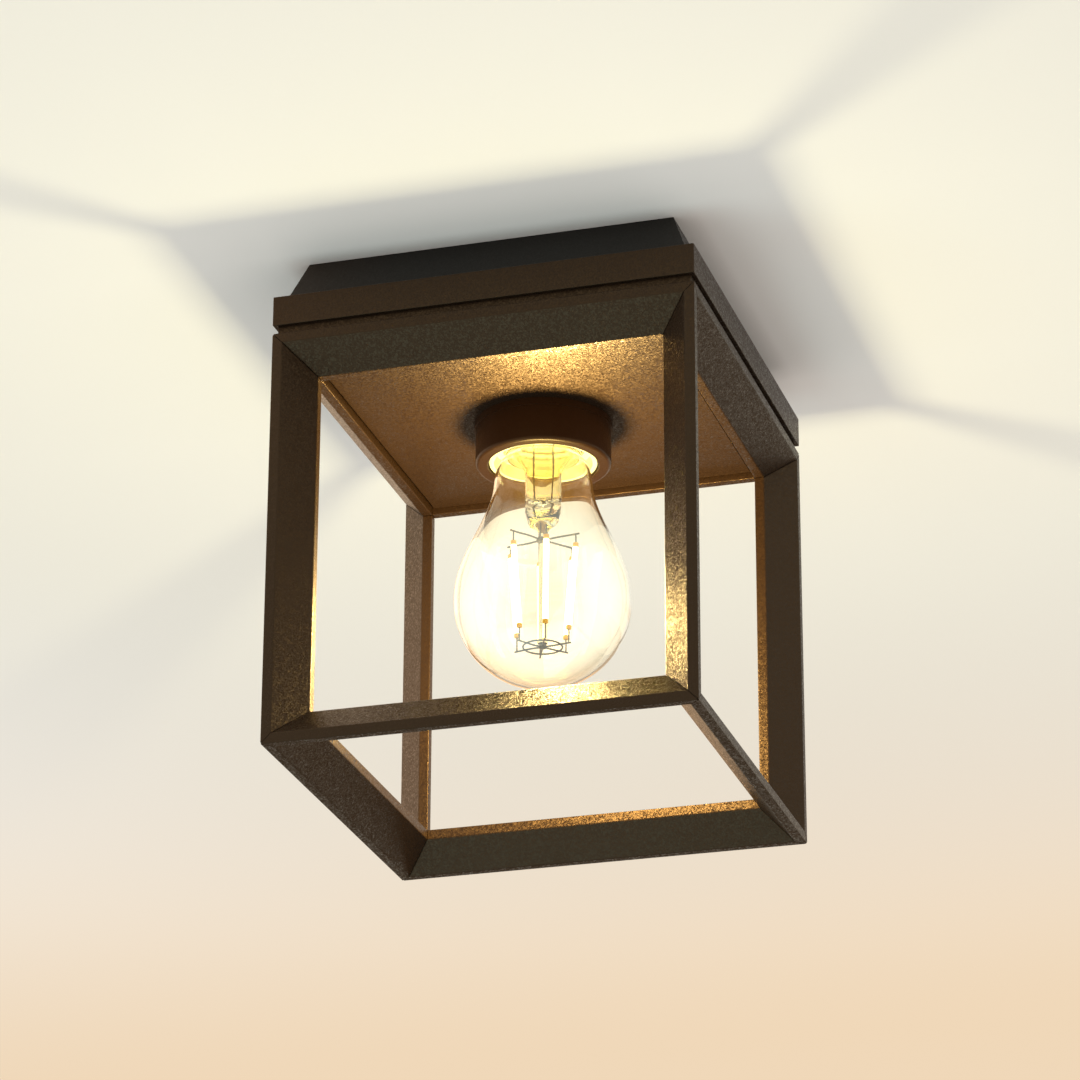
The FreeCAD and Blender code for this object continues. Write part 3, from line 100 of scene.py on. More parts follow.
nodes = frame["nodes"]
MM = 0.001

# %% [markdown]
# ## Two small helpers for colour and nodes
#
# Colours are written as the hex codes a paint chart would give. Those codes are made for screens,
# while the renderer adds up light, so each one is turned to linear light first. Materials are
# chains of shader nodes, and one function adds a node together with its settings and its links, so
# that a material reads like a recipe from top to bottom.

# %% Colour and node helpers
def linear(code):
    """A colour chart's hex code as linear light, opaque."""
    channels = [int(code[i:i + 2], 16) / 255 for i in (1, 3, 5)]
    light = [c / 12.92 if c <= 0.04045 else ((c + 0.055) / 1.055) ** 2.4 for c in channels]
    return (*light, 1.0)


def add(tree, kind, inputs=None, **settings):
    """Add a shader node: settings first, then values or other nodes' outputs for its sockets."""
    node = tree.nodes.new(kind)
    for name, value in settings.items():
        setattr(node, name, value)
    for socket, value in (inputs or {}).items():
        if isinstance(value, bpy.types.NodeSocket):
            tree.links.new(value, node.inputs[socket])
        else:
            node.inputs[socket].default_value = value
    return node


def fresh(name):
    """A new empty material, its node tree, and coordinates that stay with the piece."""
    material = bpy.data.materials.new(name)
    material.use_nodes = True
    tree = material.node_tree
    tree.nodes.clear()
    where = add(tree, "ShaderNodeTexCoord").outputs["Object"]
    return material, tree, where


def per_metre(size_mm):
    """A pattern's scale: how many features of this size fit in a metre."""
    return 1000 / size_mm


print("dark bronze in linear light:", [round(c, 4) for c in linear("#3a2d21")[:3]])

# %% [markdown]
# ## The camera
#
# The lantern is seen from below and from its front right, as a person at the porch door sees it.
# The lens is long, so upright bars stay almost parallel. The place was found by matching the
# corners of the cage, and is written as a direction and a distance from the middle of the cage.

# %% Camera
LOOK_AT = Vector((-1.0, -0.3, -82.6)) * MM
AZIMUTH = math.radians(16.77)
ELEVATION = math.radians(-22.72)
ROLL = math.radians(0.23)
DISTANCE = 1480 * MM
LENS_MM = 145.97

away = Vector((
    math.sin(AZIMUTH) * math.cos(ELEVATION),
    -math.cos(AZIMUTH) * math.cos(ELEVATION),
    math.sin(ELEVATION),
))
camera = bpy.data.objects.new("camera", bpy.data.cameras.new("camera"))
camera.data.lens = LENS_MM
camera.data.clip_end = 50
camera.location = LOOK_AT + away * DISTANCE
level = (-away).to_track_quat("-Z", "Y")
camera.rotation_mode = "QUATERNION"
camera.rotation_quaternion = level @ Matrix.Rotation(ROLL, 3, "Z").to_quaternion()
bpy.context.scene.collection.objects.link(camera)
bpy.context.scene.camera = camera
print("camera at", [round(c, 3) for c in camera.location], "metres")

# %% [markdown]
# ## The room: a pale ceiling, a pale floor and soft daylight
#
# A ceiling lantern needs a ceiling, because its light and its shadow fall there. The ceiling is a
# single sheet that is painted on its underside only: seen from above it lets the view through, so
# the top of the lantern can still be looked at. The floor lies a room's height below. Part of what
# the eye sees of both is their plain paint colour, and the rest takes light and shadow. Only
# reflections see two further things: a painted warm glare on the ceiling left of the lantern, and a
# painted reflection colour on the floor, cool near by and a dim brown far off.

# %% Ceiling and floor
ROOM_HALF = 9.0
ROOM_HEIGHT = 2.4
CEILING_LEVEL = -0.4 * MM
PLAIN_SHARE = 0.9


def seen_by_eye(tree):
    """1 for what the eye sees, straight, mirrored or through glass, and 0 for light that spreads."""
    ray = add(tree, "ShaderNodeLightPath").outputs
    seen = ray["Is Camera Ray"]
    for kind in ("Is Glossy Ray", "Is Transmission Ray"):
        seen = add(tree, "ShaderNodeMath", {0: seen, 1: ray[kind]}, operation="MAXIMUM").outputs[0]
    return seen


def sheet_of_room(name, z, normal_up, material):
    """A large flat square of the room, facing up or down."""
    h = ROOM_HALF
    corners = [(-h, -h, z), (h, -h, z), (h, h, z), (-h, h, z)]
    order = (0, 1, 2, 3) if normal_up else (3, 2, 1, 0)
    mesh = bpy.data.meshes.new(name)
    mesh.from_pydata(corners, [], [order])
    mesh.materials.append(material)
    piece = bpy.data.objects.new(name, mesh)
    bpy.context.scene.collection.objects.link(piece)
    piece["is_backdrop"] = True
    return piece


def ceiling_paint():
    """Matt white on the underside only, warmer far away, with a painted warm glare to the left that only
    reflections see.
    """
    material, tree, where = fresh("matt_ceiling_paint")
    place = add(tree, "ShaderNodeSeparateXYZ", {"Vector": where}).outputs
    out = add(tree, "ShaderNodeVectorMath", {0: where}, operation="LENGTH").outputs["Value"]
    # places in metres, between which each effect comes in softly, and its full strength
    far, flat, left, near = [
        add(tree, "ShaderNodeMapRange", {
            "Value": value, "From Min": start, "From Max": end, "To Max": full},
            interpolation_type="SMOOTHSTEP").outputs[0]
        for value, start, end, full in (
            (place["Y"], 0.2, 0.9, 1.0), (out, 0.25, 0.75, PLAIN_SHARE),
            (place["X"], -0.02, -0.20, 1.0), (place["Y"], -0.22, -0.06, 1.0))]
    paint = add(tree, "ShaderNodeMix", {
        "Factor": far, "A": linear("#f5f3ec"), "B": linear("#f2dabb")}, data_type="RGBA").outputs[2]
    matt = add(tree, "ShaderNodeBsdfDiffuse", {"Color": paint})
    plain = add(tree, "ShaderNodeEmission", {"Color": paint})
    share = add(tree, "ShaderNodeMath", {0: seen_by_eye(tree), 1: flat}, operation="MULTIPLY")
    wall = add(tree, "ShaderNodeMixShader", {
        0: share.outputs[0], 1: matt.outputs[0], 2: plain.outputs[0]})
    # painted glare: warm emission in a patch left of the lantern, seen only in reflections, a painted pool of
    # the bulb's light
    painted_glare_patch = add(tree, "ShaderNodeMath", {0: left, 1: near}, operation="MULTIPLY")
    mirrored = add(tree, "ShaderNodeLightPath").outputs["Is Glossy Ray"]
    power = add(tree, "ShaderNodeMath", {0: painted_glare_patch.outputs[0], 1: mirrored}, operation="MULTIPLY")
    glare = add(tree, "ShaderNodeEmission", {"Color": linear("#ffb96c"), "Strength": power.outputs[0]})
    wall = add(tree, "ShaderNodeAddShader", {0: wall.outputs[0], 1: glare.outputs[0]})
    back = add(tree, "ShaderNodeNewGeometry").outputs["Backfacing"]
    clear = add(tree, "ShaderNodeBsdfTransparent")
    one_sided = add(tree, "ShaderNodeMixShader", {0: back, 1: wall.outputs[0], 2: clear.outputs[0]})
    add(tree, "ShaderNodeOutputMaterial", {"Surface": one_sided.outputs[0]})
    return material


def floor_paint():
    """Pale floor paint. Reflections see a painted reflection colour instead: cooler near by, and a dim brown
    far off, painted as the dim end of a room.
    """
    material, tree, where = fresh("matt_floor_paint")
    away = add(tree, "ShaderNodeSeparateXYZ", {"Vector": where}).outputs["Y"]
    # painted reflection: how far off a mirrored point lies picks between the cool and the dim brown tone
    far = add(tree, "ShaderNodeMapRange", {
        "Value": away, "From Min": 0.3, "From Max": 2.0}, interpolation_type="SMOOTHSTEP")
    painted_reflection_tone = add(tree, "ShaderNodeMix", {
        "Factor": far.outputs[0], "A": linear("#dfe6e2"), "B": linear("#8f6f4a")}, data_type="RGBA")
    mirrored = add(tree, "ShaderNodeLightPath").outputs["Is Glossy Ray"]
    paint = add(tree, "ShaderNodeMix", {
        "Factor": mirrored, "A": linear("#f3ecda"), "B": painted_reflection_tone.outputs[2]}, data_type="RGBA").outputs[2]
    matt = add(tree, "ShaderNodeBsdfDiffuse", {"Color": paint})
    plain = add(tree, "ShaderNodeEmission", {"Color": paint})
    share = add(tree, "ShaderNodeMath", {0: seen_by_eye(tree), 1: PLAIN_SHARE}, operation="MULTIPLY")
    both = add(tree, "ShaderNodeMixShader", {
        0: share.outputs[0], 1: matt.outputs[0], 2: plain.outputs[0]})
    add(tree, "ShaderNodeOutputMaterial", {"Surface": both.outputs[0]})
    return material


ceiling = sheet_of_room("ceiling", CEILING_LEVEL, False, ceiling_paint())
floor = sheet_of_room("floor", -ROOM_HEIGHT, True, floor_paint())
floor.visible_diffuse = False
print("ceiling and floor", 2 * ROOM_HALF, "m wide,", ROOM_HEIGHT, "m apart")

# %% [markdown]
# ## Daylight
#
# A porch gets soft light from everywhere, which the world gives at a level where colours look as
# they are written. A warm key lamp from the right and a cool one from low on the left are large
# and weak: they only tell the faces of the cage apart, and the camera sees neither of them.

# %% Daylight
DAYLIGHT = 0.69

world = bpy.data.worlds.new("room_light")
bpy.context.scene.world = world
world.use_nodes = True
sky = world.node_tree
sky.nodes.clear()
ambient = add(sky, "ShaderNodeBackground", {"Color": linear("#fdf4f0"), "Strength": DAYLIGHT})
backdrop = add(sky, "ShaderNodeBackground", {"Color": linear("#f3ecda"), "Strength": 1.0})
both = add(sky, "ShaderNodeMixShader", {
    0: seen_by_eye(sky), 1: ambient.outputs[0], 2: backdrop.outputs[0]})
add(sky, "ShaderNodeOutputWorld", {"Surface": both.outputs[0]})


def soft_lamp(name, place, size, watts, code):
    """A large square studio lamp that looks at the lantern and doesn't show to the camera."""
    data = bpy.data.lights.new(name, "AREA")
    data.size = size
    data.energy = watts
    data.color = linear(code)[:3]
    lamp = bpy.data.objects.new(name, data)
    lamp.location = place
    lamp.rotation_mode = "QUATERNION"
    lamp.rotation_quaternion = (LOOK_AT - Vector(place)).to_track_quat("-Z", "Y")
    lamp.visible_camera = False
    bpy.context.scene.collection.objects.link(lamp)


soft_lamp("key_from_right", (2.2, -0.6, -1.0), 2.6, 5, "#fff6ea")
soft_lamp("fill_from_below", (-0.5, -0.9, -2.2), 1.6, 11, "#ace6f2")
bpy.context.scene.view_settings.view_transform = "Standard"
print("daylight level", DAYLIGHT, "and two soft lamps")

# %% [markdown]
# ## Powder coat: the dark bronze of the cage
#
# The bars are aluminium with a fine-textured polyester powder coat, sprayed on dry and baked. The
# powder melts into pebbles about half a millimetre across, and about a third of them carry a flake
# of mica. Each pebble is a small face that lies a few degrees off the true surface. In even light
# that can't be seen, and the coat is a dark, slightly warm brown. Where a lamp is nearly mirrored,
# some flakes flash gold and their neighbours stay dark: the glitter on the bars' inner sides.
#
# So the glitter isn't painted: every cell of a Voronoi pattern turns the surface's normal a little
# its own way, and the lamp does the rest.

# %% Powder coat
PEBBLE_MM = 0.45
FLAKE_SHARE = 0.35
FLAKE_ROUGHNESS = 0.3
BAKED_GLOSS = 0.42


def powder_coat(name, dark, light, gleam, lean, rough):
    """Baked powder: dull pebbles, and among them mica flakes that each lean their own way."""
    material, tree, where = fresh(name)
    grain = add(tree, "ShaderNodeTexNoise", {
        "Vector": where, "Scale": per_metre(PEBBLE_MM * 0.6), "Detail": 2.0, "Roughness": 0.5})
    pebble = add(tree, "ShaderNodeTexVoronoi", {"Vector": where, "Scale": per_metre(PEBBLE_MM)})
    luck = add(tree, "ShaderNodeSeparateColor", {"Color": pebble.outputs["Color"]}).outputs["Blue"]
    flake = add(tree, "ShaderNodeMath", {0: luck, 1: FLAKE_SHARE}, operation="LESS_THAN").outputs[0]
    off_centre = add(tree, "ShaderNodeVectorMath", {
        0: pebble.outputs["Color"], 1: (0.5, 0.5, FLAKE_SHARE / 2)}, operation="SUBTRACT")
    leaning = add(tree, "ShaderNodeVectorMath", {0: off_centre.outputs[0], "Scale": lean}, operation="SCALE")
    true_side = add(tree, "ShaderNodeNewGeometry").outputs["Normal"]
    leaned = add(tree, "ShaderNodeVectorMath", {0: true_side, 1: leaning.outputs[0]}, operation="ADD")
    facing = add(tree, "ShaderNodeVectorMath", {0: leaned.outputs[0]}, operation="NORMALIZE")
    relief = add(tree, "ShaderNodeBump", {
        "Height": grain.outputs["Fac"], "Strength": 0.35, "Distance": 0.08 * MM,
        "Normal": facing.outputs[0]})
    body = add(tree, "ShaderNodeMix", {
        "Factor": grain.outputs["Fac"], "A": linear(dark), "B": linear(light)}, data_type="RGBA")
    gloss = add(tree, "ShaderNodeMapRange", {"Value": flake, "To Min": rough, "To Max": FLAKE_ROUGHNESS})
    shader = add(tree, "ShaderNodeBsdfPrincipled", {
        "Base Color": body.outputs[2], "Roughness": gloss.outputs[0], "IOR": 1.5,
        "Specular IOR Level": BAKED_GLOSS, "Specular Tint": linear(gleam), "Normal": relief.outputs[0]})
    add(tree, "ShaderNodeOutputMaterial", {"Surface": shader.outputs[0]})
    return material


bronze_coat = powder_coat("bronze_powder_coat_on_aluminium", "#1c120b", "#231810", "#ffd8ac", 0.27, 0.50)
fine_coat = powder_coat("smooth_bronze_powder_coat_on_steel", "#2b1608", "#321a0a", "#ffd09a", 0.06, 0.42)
black_coat = powder_coat("black_powder_coat_on_cast_aluminium", "#0b0907", "#120f0c", "#e8e2da", 0.1, 0.5)
print("pebbles per metre:", round(per_metre(PEBBLE_MM)))

# %% [markdown]
# ## Softened edges
#
# No sawn or cast edge is a true knife edge: deburring and the thickness of the coat leave a radius
# of about 0.3 mm. It is small, but it catches the light as the thin pale line that outlines every
# bar. A bevel modifier makes it, and weighted normals keep the big faces flat beside it.

# %% Softening
EDGE_RADIUS = 0.3 * MM
SMALL_RADIUS = 0.15 * MM
EDGE_ANGLE = 35
FLAT_ANGLE = 0.5
WELD_WITHIN = 0.002 * MM


def soften(node, radius):
    """Round a CAD piece's edges with modifiers, leaving its own mesh as it is."""
    piece = nodes[node]
    weld = piece.modifiers.new("weld", "WELD")
    weld.merge_threshold = WELD_WITHIN
    flat = piece.modifiers.new("flat_faces", "DECIMATE")
    flat.decimate_type = "DISSOLVE"
    flat.angle_limit = math.radians(FLAT_ANGLE)
    bevel = piece.modifiers.new("edge", "BEVEL")
    bevel.width = radius
    bevel.segments = 3
    bevel.limit_method = "ANGLE"
    bevel.angle_limit = math.radians(EDGE_ANGLE)
    bevel.use_clamp_overlap = True
    normals = piece.modifiers.new("normals", "WEIGHTED_NORMAL")
    normals.keep_sharp = False


def dress(material, *names):
    """Give CAD pieces their material."""
    for name in names:
        piece = nodes[name]
        piece.data.materials.clear()
        piece.data.materials.append(material)


BARS = sorted(n for n in nodes if n.endswith("_rail") or n.endswith("_post"))
for bar in BARS:
    soften(bar, EDGE_RADIUS)
dress(bronze_coat, *BARS)
for plate in ("top_cap", "neck_plate", "cover_panel"):
    soften(plate, EDGE_RADIUS)
dress(bronze_coat, "top_cap", "neck_plate", "cover_panel")
dress(fine_coat, "holder_shroud")
soften("holder_shroud", EDGE_RADIUS)
soften("ceiling_base", EDGE_RADIUS)
dress(black_coat, "ceiling_base")
print(len(BARS), "bars coated and softened")

# %% [markdown]
# ## The white lampholder
#
# The skirt that shows inside the shroud is unglazed porcelain: pressed from fine clay and fired. It
# is matt and creamy white, a little see-through at its edge, with a faint grain from the die.

# %% Porcelain
PRESSED_RADIUS = 0.35 * MM


def porcelain():
    """Fired, unglazed porcelain."""
    material, tree, where = fresh("unglazed_porcelain")
    grain = add(tree, "ShaderNodeTexNoise", {"Vector": where, "Scale": per_metre(0.5), "Detail": 4.0})
    cloud = add(tree, "ShaderNodeTexNoise", {"Vector": where, "Scale": per_metre(9), "Detail": 2.0})
    tone = add(tree, "ShaderNodeMix", {
        "Factor": cloud.outputs["Fac"], "A": linear("#d3c89f"), "B": linear("#dfd5b0")}, data_type="RGBA")
    relief = add(tree, "ShaderNodeBump", {
        "Height": grain.outputs["Fac"], "Strength": 0.25, "Distance": 0.05 * MM})
    shader = add(tree, "ShaderNodeBsdfPrincipled", {
        "Base Color": tone.outputs[2], "Roughness": 0.55, "IOR": 1.5,
        "Subsurface Weight": 0.15, "Subsurface Radius": (1.2 * MM, 0.9 * MM, 0.6 * MM),
        "Subsurface Scale": 1.0, "Normal": relief.outputs[0]})
    add(tree, "ShaderNodeOutputMaterial", {"Surface": shader.outputs[0]})
    return material


soften("holder_body", PRESSED_RADIUS)
dress(porcelain(), "holder_body")
print("lampholder is porcelain")

# %% [markdown]
# ## Building blocks for turned and bent pieces
#
# Blown glass is round about its axis, so half of its outline, turned, makes the whole. The outline
# itself is a spline through a few poles, which is how smooth shapes are drawn. Wires are curves
# with a round section. Both end up as plain closed meshes.

# %% Turned and bent pieces
SAME_PLACE = 1e-7


def spline_line(poles, steps):
    """Points along a smooth spline that starts and ends on its outer poles."""
    curve = bpy.data.curves.new("line", "CURVE")
    curve.dimensions = "3D"
    curve.resolution_u = steps
    spline = curve.splines.new("NURBS")
    spline.points.add(len(poles) - 1)
    for point, pole in zip(spline.points, poles):
        point.co = (*pole, 1.0)
    spline.order_u = 4
    spline.use_endpoint_u = True
    drawn = bpy.data.objects.new("line", curve)
    mesh = bpy.data.meshes.new_from_object(drawn)
    line = [v.co.copy() for v in mesh.vertices]
    bpy.data.meshes.remove(mesh)
    bpy.data.objects.remove(drawn)
    bpy.data.curves.remove(curve)
    return line


def turn_about_axis(outline, around):
    """A closed mesh turned about Z from (radius, z) points. A radius of zero is the axis."""
    form = bmesh.new()
    rings = []
    for radius, z in outline:
        if radius < SAME_PLACE:
            rings.append([form.verts.new((0, 0, z))])
            continue
        angles = [2 * math.pi * i / around for i in range(around)]
        rings.append([form.verts.new((radius * math.cos(a), radius * math.sin(a), z)) for a in angles])
    for near, far in zip(rings, rings[1:] + rings[:1]):
        if len(near) == 1 and len(far) == 1:
            continue
        for i in range(around):
            j = (i + 1) % around
            corners = [near[i % len(near)], near[j % len(near)], far[j % len(far)], far[i % len(far)]]
            form.faces.new(list(dict.fromkeys(corners)))
    bmesh.ops.recalc_face_normals(form, faces=form.faces)
    mesh = bpy.data.meshes.new("turned")
    form.to_mesh(mesh)
    form.free()
    return mesh


def bent_wire(points, radius):
    """A round wire along some points, with closed ends."""
    curve = bpy.data.curves.new("wire", "CURVE")
    curve.dimensions = "3D"
    curve.bevel_depth = radius
    curve.bevel_resolution = 3
    curve.use_fill_caps = True
    curve.resolution_u = 4
    spline = curve.splines.new("NURBS")
    spline.points.add(len(points) - 1)
    for point, place in zip(spline.points, points):
        point.co = (*place, 1.0)
    spline.order_u = 3
    spline.use_endpoint_u = True
    drawn = bpy.data.objects.new("wire", curve)
    mesh = bpy.data.meshes.new_from_object(drawn)
    bpy.data.objects.remove(drawn)
    bpy.data.curves.remove(curve)
    return mesh


def piece_of(name, meshes, material, body, stands_for, crease=EDGE_ANGLE):
    """One named piece from one or more closed meshes, which rides on a CAD body."""
    form = bmesh.new()
    for mesh in meshes:
        form.from_mesh(mesh)
        bpy.data.meshes.remove(mesh)
    bmesh.ops.remove_doubles(form, verts=form.verts, dist=SAME_PLACE)
    bmesh.ops.recalc_face_normals(form, faces=form.faces)
    mesh = bpy.data.meshes.new(name)
    form.to_mesh(mesh)
    form.free()
    mesh.materials.append(material)
    mesh.shade_smooth()
    mesh.set_sharp_from_angle(angle=math.radians(crease))
    piece = bpy.data.objects.new(name, mesh)
    bpy.context.scene.collection.objects.link(piece)
    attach(piece, body)
    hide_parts(*stands_for)
    return piece


def towards(angle, out, z):
    """A place at an angle round the axis, a distance out, at a level."""
    return Vector((out * math.cos(angle), out * math.sin(angle), z))


print("helpers for turned and bent pieces are ready")

# %% [markdown]
# ## The bulb's glass
#
# The envelope is clear soda-lime glass, blown into a mould: a pear with a narrow neck, and walls
# well under a millimetre. Clear glass shows mostly as a fine dark outline where the light has to
# pass along the wall, so both its faces are modelled. Round the lit sticks the glass also carries
# a painted glow that stands in for their glare: strongest level with them, and amber up in the neck.

# %% Bulb glass
low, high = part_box("bulb_glass")
LAMP_RADIUS = high.x
EQUATOR = low.z + LAMP_RADIUS
NECK = 11.91 * MM
GLASS_WALL = 0.8 * MM
LAMP_EDGE = -52.0 * MM
PAINTED_STICK_GLOW = 0.115
PAINTED_NECK_GLOW = 0.055
BELLY_SPAN = LAMP_EDGE - EQUATOR

# share of the way out from the neck to the belly, and share of the way down to the widest level
PEAR = [(0, -0.07), (0, -0.03), (0.014, 0.0), (0.105, 0.03), (0.19, 0.065), (0.243, 0.12),
        (0.27, 0.20), (0.298, 0.30), (0.442, 0.43), (0.63, 0.57), (0.823, 0.71),
        (0.967, 0.85), (1, 0.94), (1, 1)]


def glass_wall():
    """Outer outline of the glass from neck to tip, then the inner one back up."""
    poles = [(NECK + (LAMP_RADIUS - NECK) * out, 0, LAMP_EDGE - BELLY_SPAN * down) for out, down in PEAR]
    outer = [(p.x, p.z) for p in spline_line(poles, 8)]
    dome_steps = 22
    for step in range(1, dome_steps + 1):
        turn = math.pi / 2 * step / dome_steps
        radius = LAMP_RADIUS * math.cos(turn) if step < dome_steps else 0
        outer.append((radius, EQUATOR - LAMP_RADIUS * math.sin(turn)))
    inner = []
    for i, (r, z) in enumerate(outer):
        before = outer[max(i - 1, 0)]
        after = outer[min(i + 1, len(outer) - 1)]
        run = Vector((after[0] - before[0], after[1] - before[1])).normalized()
        inner.append((max(r + run.y * GLASS_WALL, 0), z - run.x * GLASS_WALL))
    inner[0] = (outer[0][0] - GLASS_WALL, outer[0][1])
    inner[-1] = (0, outer[-1][1] + GLASS_WALL)
    return outer + inner[::-1]


def clear_glass():
    """Soda-lime glass with a painted glow beside the lit sticks, standing in for their glare."""
    material, tree, where = fresh("clear_soda_lime_glass")
    level = add(tree, "ShaderNodeSeparateXYZ", {0: where}).outputs["Z"]
    facing = add(tree, "ShaderNodeLayerWeight", {"Blend": 0.5}).outputs["Facing"]
    # the painted glow's limits below the neck and above the tip, off the middle and off the outline
    # of the bulb, then the painted glow in the neck, and where its tint turns amber
    *limits, painted_glow_in_neck, amber = [
        add(tree, "ShaderNodeMapRange", {
            "Value": value, "From Min": start, "From Max": end, "To Max": full},
            interpolation_type="SMOOTHSTEP").outputs[0]
        for value, start, end, full in (
            (level, -62 * MM, -92 * MM, PAINTED_STICK_GLOW), (level, -140 * MM, -116 * MM, 1.0),
            (facing, 0.0, 0.14, 1.0), (facing, 0.75, 0.25, 1.0),
            (level, -84 * MM, -66 * MM, PAINTED_NECK_GLOW), (level, -84 * MM, -72 * MM, 1.0))]
    glow = limits[0]
    for limit in limits[1:]:
        glow = add(tree, "ShaderNodeMath", {0: glow, 1: limit}, operation="MULTIPLY").outputs[0]
    glow = add(tree, "ShaderNodeMath", {0: glow, 1: painted_glow_in_neck}, operation="MAXIMUM")
    tint = add(tree, "ShaderNodeMix", {
        "Factor": amber, "A": linear("#fbffea"), "B": linear("#ffb24e")}, data_type="RGBA")
    shader = add(tree, "ShaderNodeBsdfPrincipled", {
        "Base Color": linear("#fffff7"), "Roughness": 0.0, "IOR": 1.52, "Transmission Weight": 1.0,
        "Emission Color": tint.outputs[2], "Emission Strength": glow.outputs[0]})
    add(tree, "ShaderNodeOutputMaterial", {"Surface": shader.outputs[0]})
    return material


glass = piece_of("lamp_glass", [turn_about_axis(glass_wall(), 128)], clear_glass(),
                 "bulb", ["bulb_glass"])
glass.visible_glossy = False
glass.visible_diffuse = False
print("glass:", len(glass.data.polygons), "faces, widest", round(2 * LAMP_RADIUS / MM, 1), "mm")

# %% [markdown]
# ## The stem
#
# Inside the neck a flared glass tube carries the wires. While it is hot its end is pinched flat
# round them, and a thin glass rod goes on down the middle. The pinch is the one uneven spot in the
# bulb: it is pressed by hand-sized jaws, so it is wider than it is deep and a little lumpy.

# %% Stem
PINCH_TOP, PINCH_FOOT = -72.0, -78.5
STEM_AROUND = 56
ROD_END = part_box("bulb_stem")[0].z

# in mm: level, half width across the pinch, half depth through it
STEM_OUTSIDE = [(-50.5, 10.7, 10.7), (-52.5, 9.3, 9.3), (-55.0, 7.5, 7.5), (-58.0, 6.3, 6.3),
                (-62.0, 6.15, 6.15), (-67.0, 6.15, 6.15), (-71.0, 6.15, 6.0), (-72.8, 6.1, 4.4),
                (-74.5, 5.8, 2.6), (-76.5, 5.4, 2.2), (-77.8, 4.2, 2.0), (-78.8, 2.4, 1.8),
                (-80.0, 1.6, 1.6), (-90.0, 1.6, 1.6), (-105.0, 1.6, 1.6), (-120.0, 1.6, 1.6)]
STEM_INSIDE = [(-70.6, 0.5, 0.5), (-70.0, 3.6, 3.4), (-68.5, 5.2, 5.2), (-66.0, 5.45, 5.45),
               (-58.0, 5.6, 5.6), (-55.0, 6.8, 6.8), (-52.5, 8.6, 8.6), (-50.5, 10.0, 10.0)]


def stem_form():
    """Outside down to the rod's end, then the hollow of the tube back up to the flare."""
    ends = [(ROD_END / MM, 1.6, 1.6)]
    outside = STEM_OUTSIDE + ends
    form = bmesh.new()
    rings = []
    for z, wide, deep in outside[::-1] + STEM_INSIDE[::-1]:
        ring = []
        for i in range(STEM_AROUND):
            a = 2 * math.pi * i / STEM_AROUND
            lump = 1.0
            if PINCH_FOOT < z < PINCH_TOP:
                lump += 0.08 * math.sin(4 * a + z) * math.cos(2.3 * z)
            across = wide * lump * MM * math.cos(a)
            through = deep * lump * MM * math.sin(a)
            ring.append(form.verts.new((across, through, z * MM)))
        rings.append(ring)
    for near, far in zip(rings, rings[1:]):
        for i in range(STEM_AROUND):
            j = (i + 1) % STEM_AROUND
            form.faces.new((near[i], near[j], far[j], far[i]))
    form.faces.new(rings[0])
    form.faces.new(rings[-1])
    mesh = bpy.data.meshes.new("stem")
    form.to_mesh(mesh)
    form.free()
    return mesh


def stem_glass():
    """Lead-free stem glass: as clear as the bulb, with drawn streaks along the tube."""
    material, tree, where = fresh("pressed_stem_glass")
    stretched = add(tree, "ShaderNodeMapping", {
        "Vector": where, "Scale": (per_metre(1.2), per_metre(1.2), per_metre(14))})
    streak = add(tree, "ShaderNodeTexNoise", {"Vector": stretched.outputs[0], "Scale": 1.0, "Detail": 2.0})
    relief = add(tree, "ShaderNodeBump", {
        "Height": streak.outputs["Fac"], "Strength": 0.35, "Distance": 0.15 * MM})
    shader = add(tree, "ShaderNodeBsdfPrincipled", {
        "Base Color": linear("#fff8d8"), "Roughness": 0.03, "IOR": 1.54,
        "Transmission Weight": 1.0, "Normal": relief.outputs[0]})
    add(tree, "ShaderNodeOutputMaterial", {"Surface": shader.outputs[0]})
    return material


piece_of("lamp_stem", [stem_form()], stem_glass(), "bulb", ["bulb_stem"], crease=60)
print("stem reaches down to", round(ROD_END / MM, 1), "mm")

# %% [markdown]
# ## Filaments
#
# Each glowing stick is a strip of tiny LED chips under a coat of yellow phosphor. Lit, it is an
# even warm white with faintly brighter beads where the chips sit, about a millimetre apart. The
# last two millimetres at each end hold no chips and stay a deep yellow, with a faint painted glow
# for the light that spreads into them from the chips. The sticks lean in a little towards the bottom.

# %% Filaments
FILAMENTS = 6
FIRST_ANGLE = math.radians(51.8)
TOP_OUT, TOP_LEVEL = 12.2 * MM, -85.8 * MM
LOW_OUT, LOW_LEVEL = 9.5 * MM, -116.6 * MM
STICK_RADIUS = 0.95 * MM
UNLIT_LENGTH = 1.55 * MM
TIP_GAP = 0.02 * MM
STICK_ROUND = 0.2 * MM
TIP_ROUND = 0.3 * MM
ANGLES = [FIRST_ANGLE + 2 * math.pi * i / FILAMENTS for i in range(FILAMENTS)]


def stick(start, end, radius, rounded):
    """A round stick between two places, its edges rounded."""
    length = (end - start).length
    outline = [(0, 0), (radius - rounded, 0)]
    outline += [(radius - rounded * (1 - math.sin(t)), rounded * (1 - math.cos(t)))
                for t in (math.pi / 6, math.pi / 3, math.pi / 2)]
    outline += [(r, length - z) for r, z in outline[::-1]]
    mesh = turn_about_axis(outline, 20)
    turn = (end - start).to_track_quat("Z", "Y").to_matrix().to_4x4()
    mesh.transform(Matrix.Translation(start) @ turn)
    return mesh


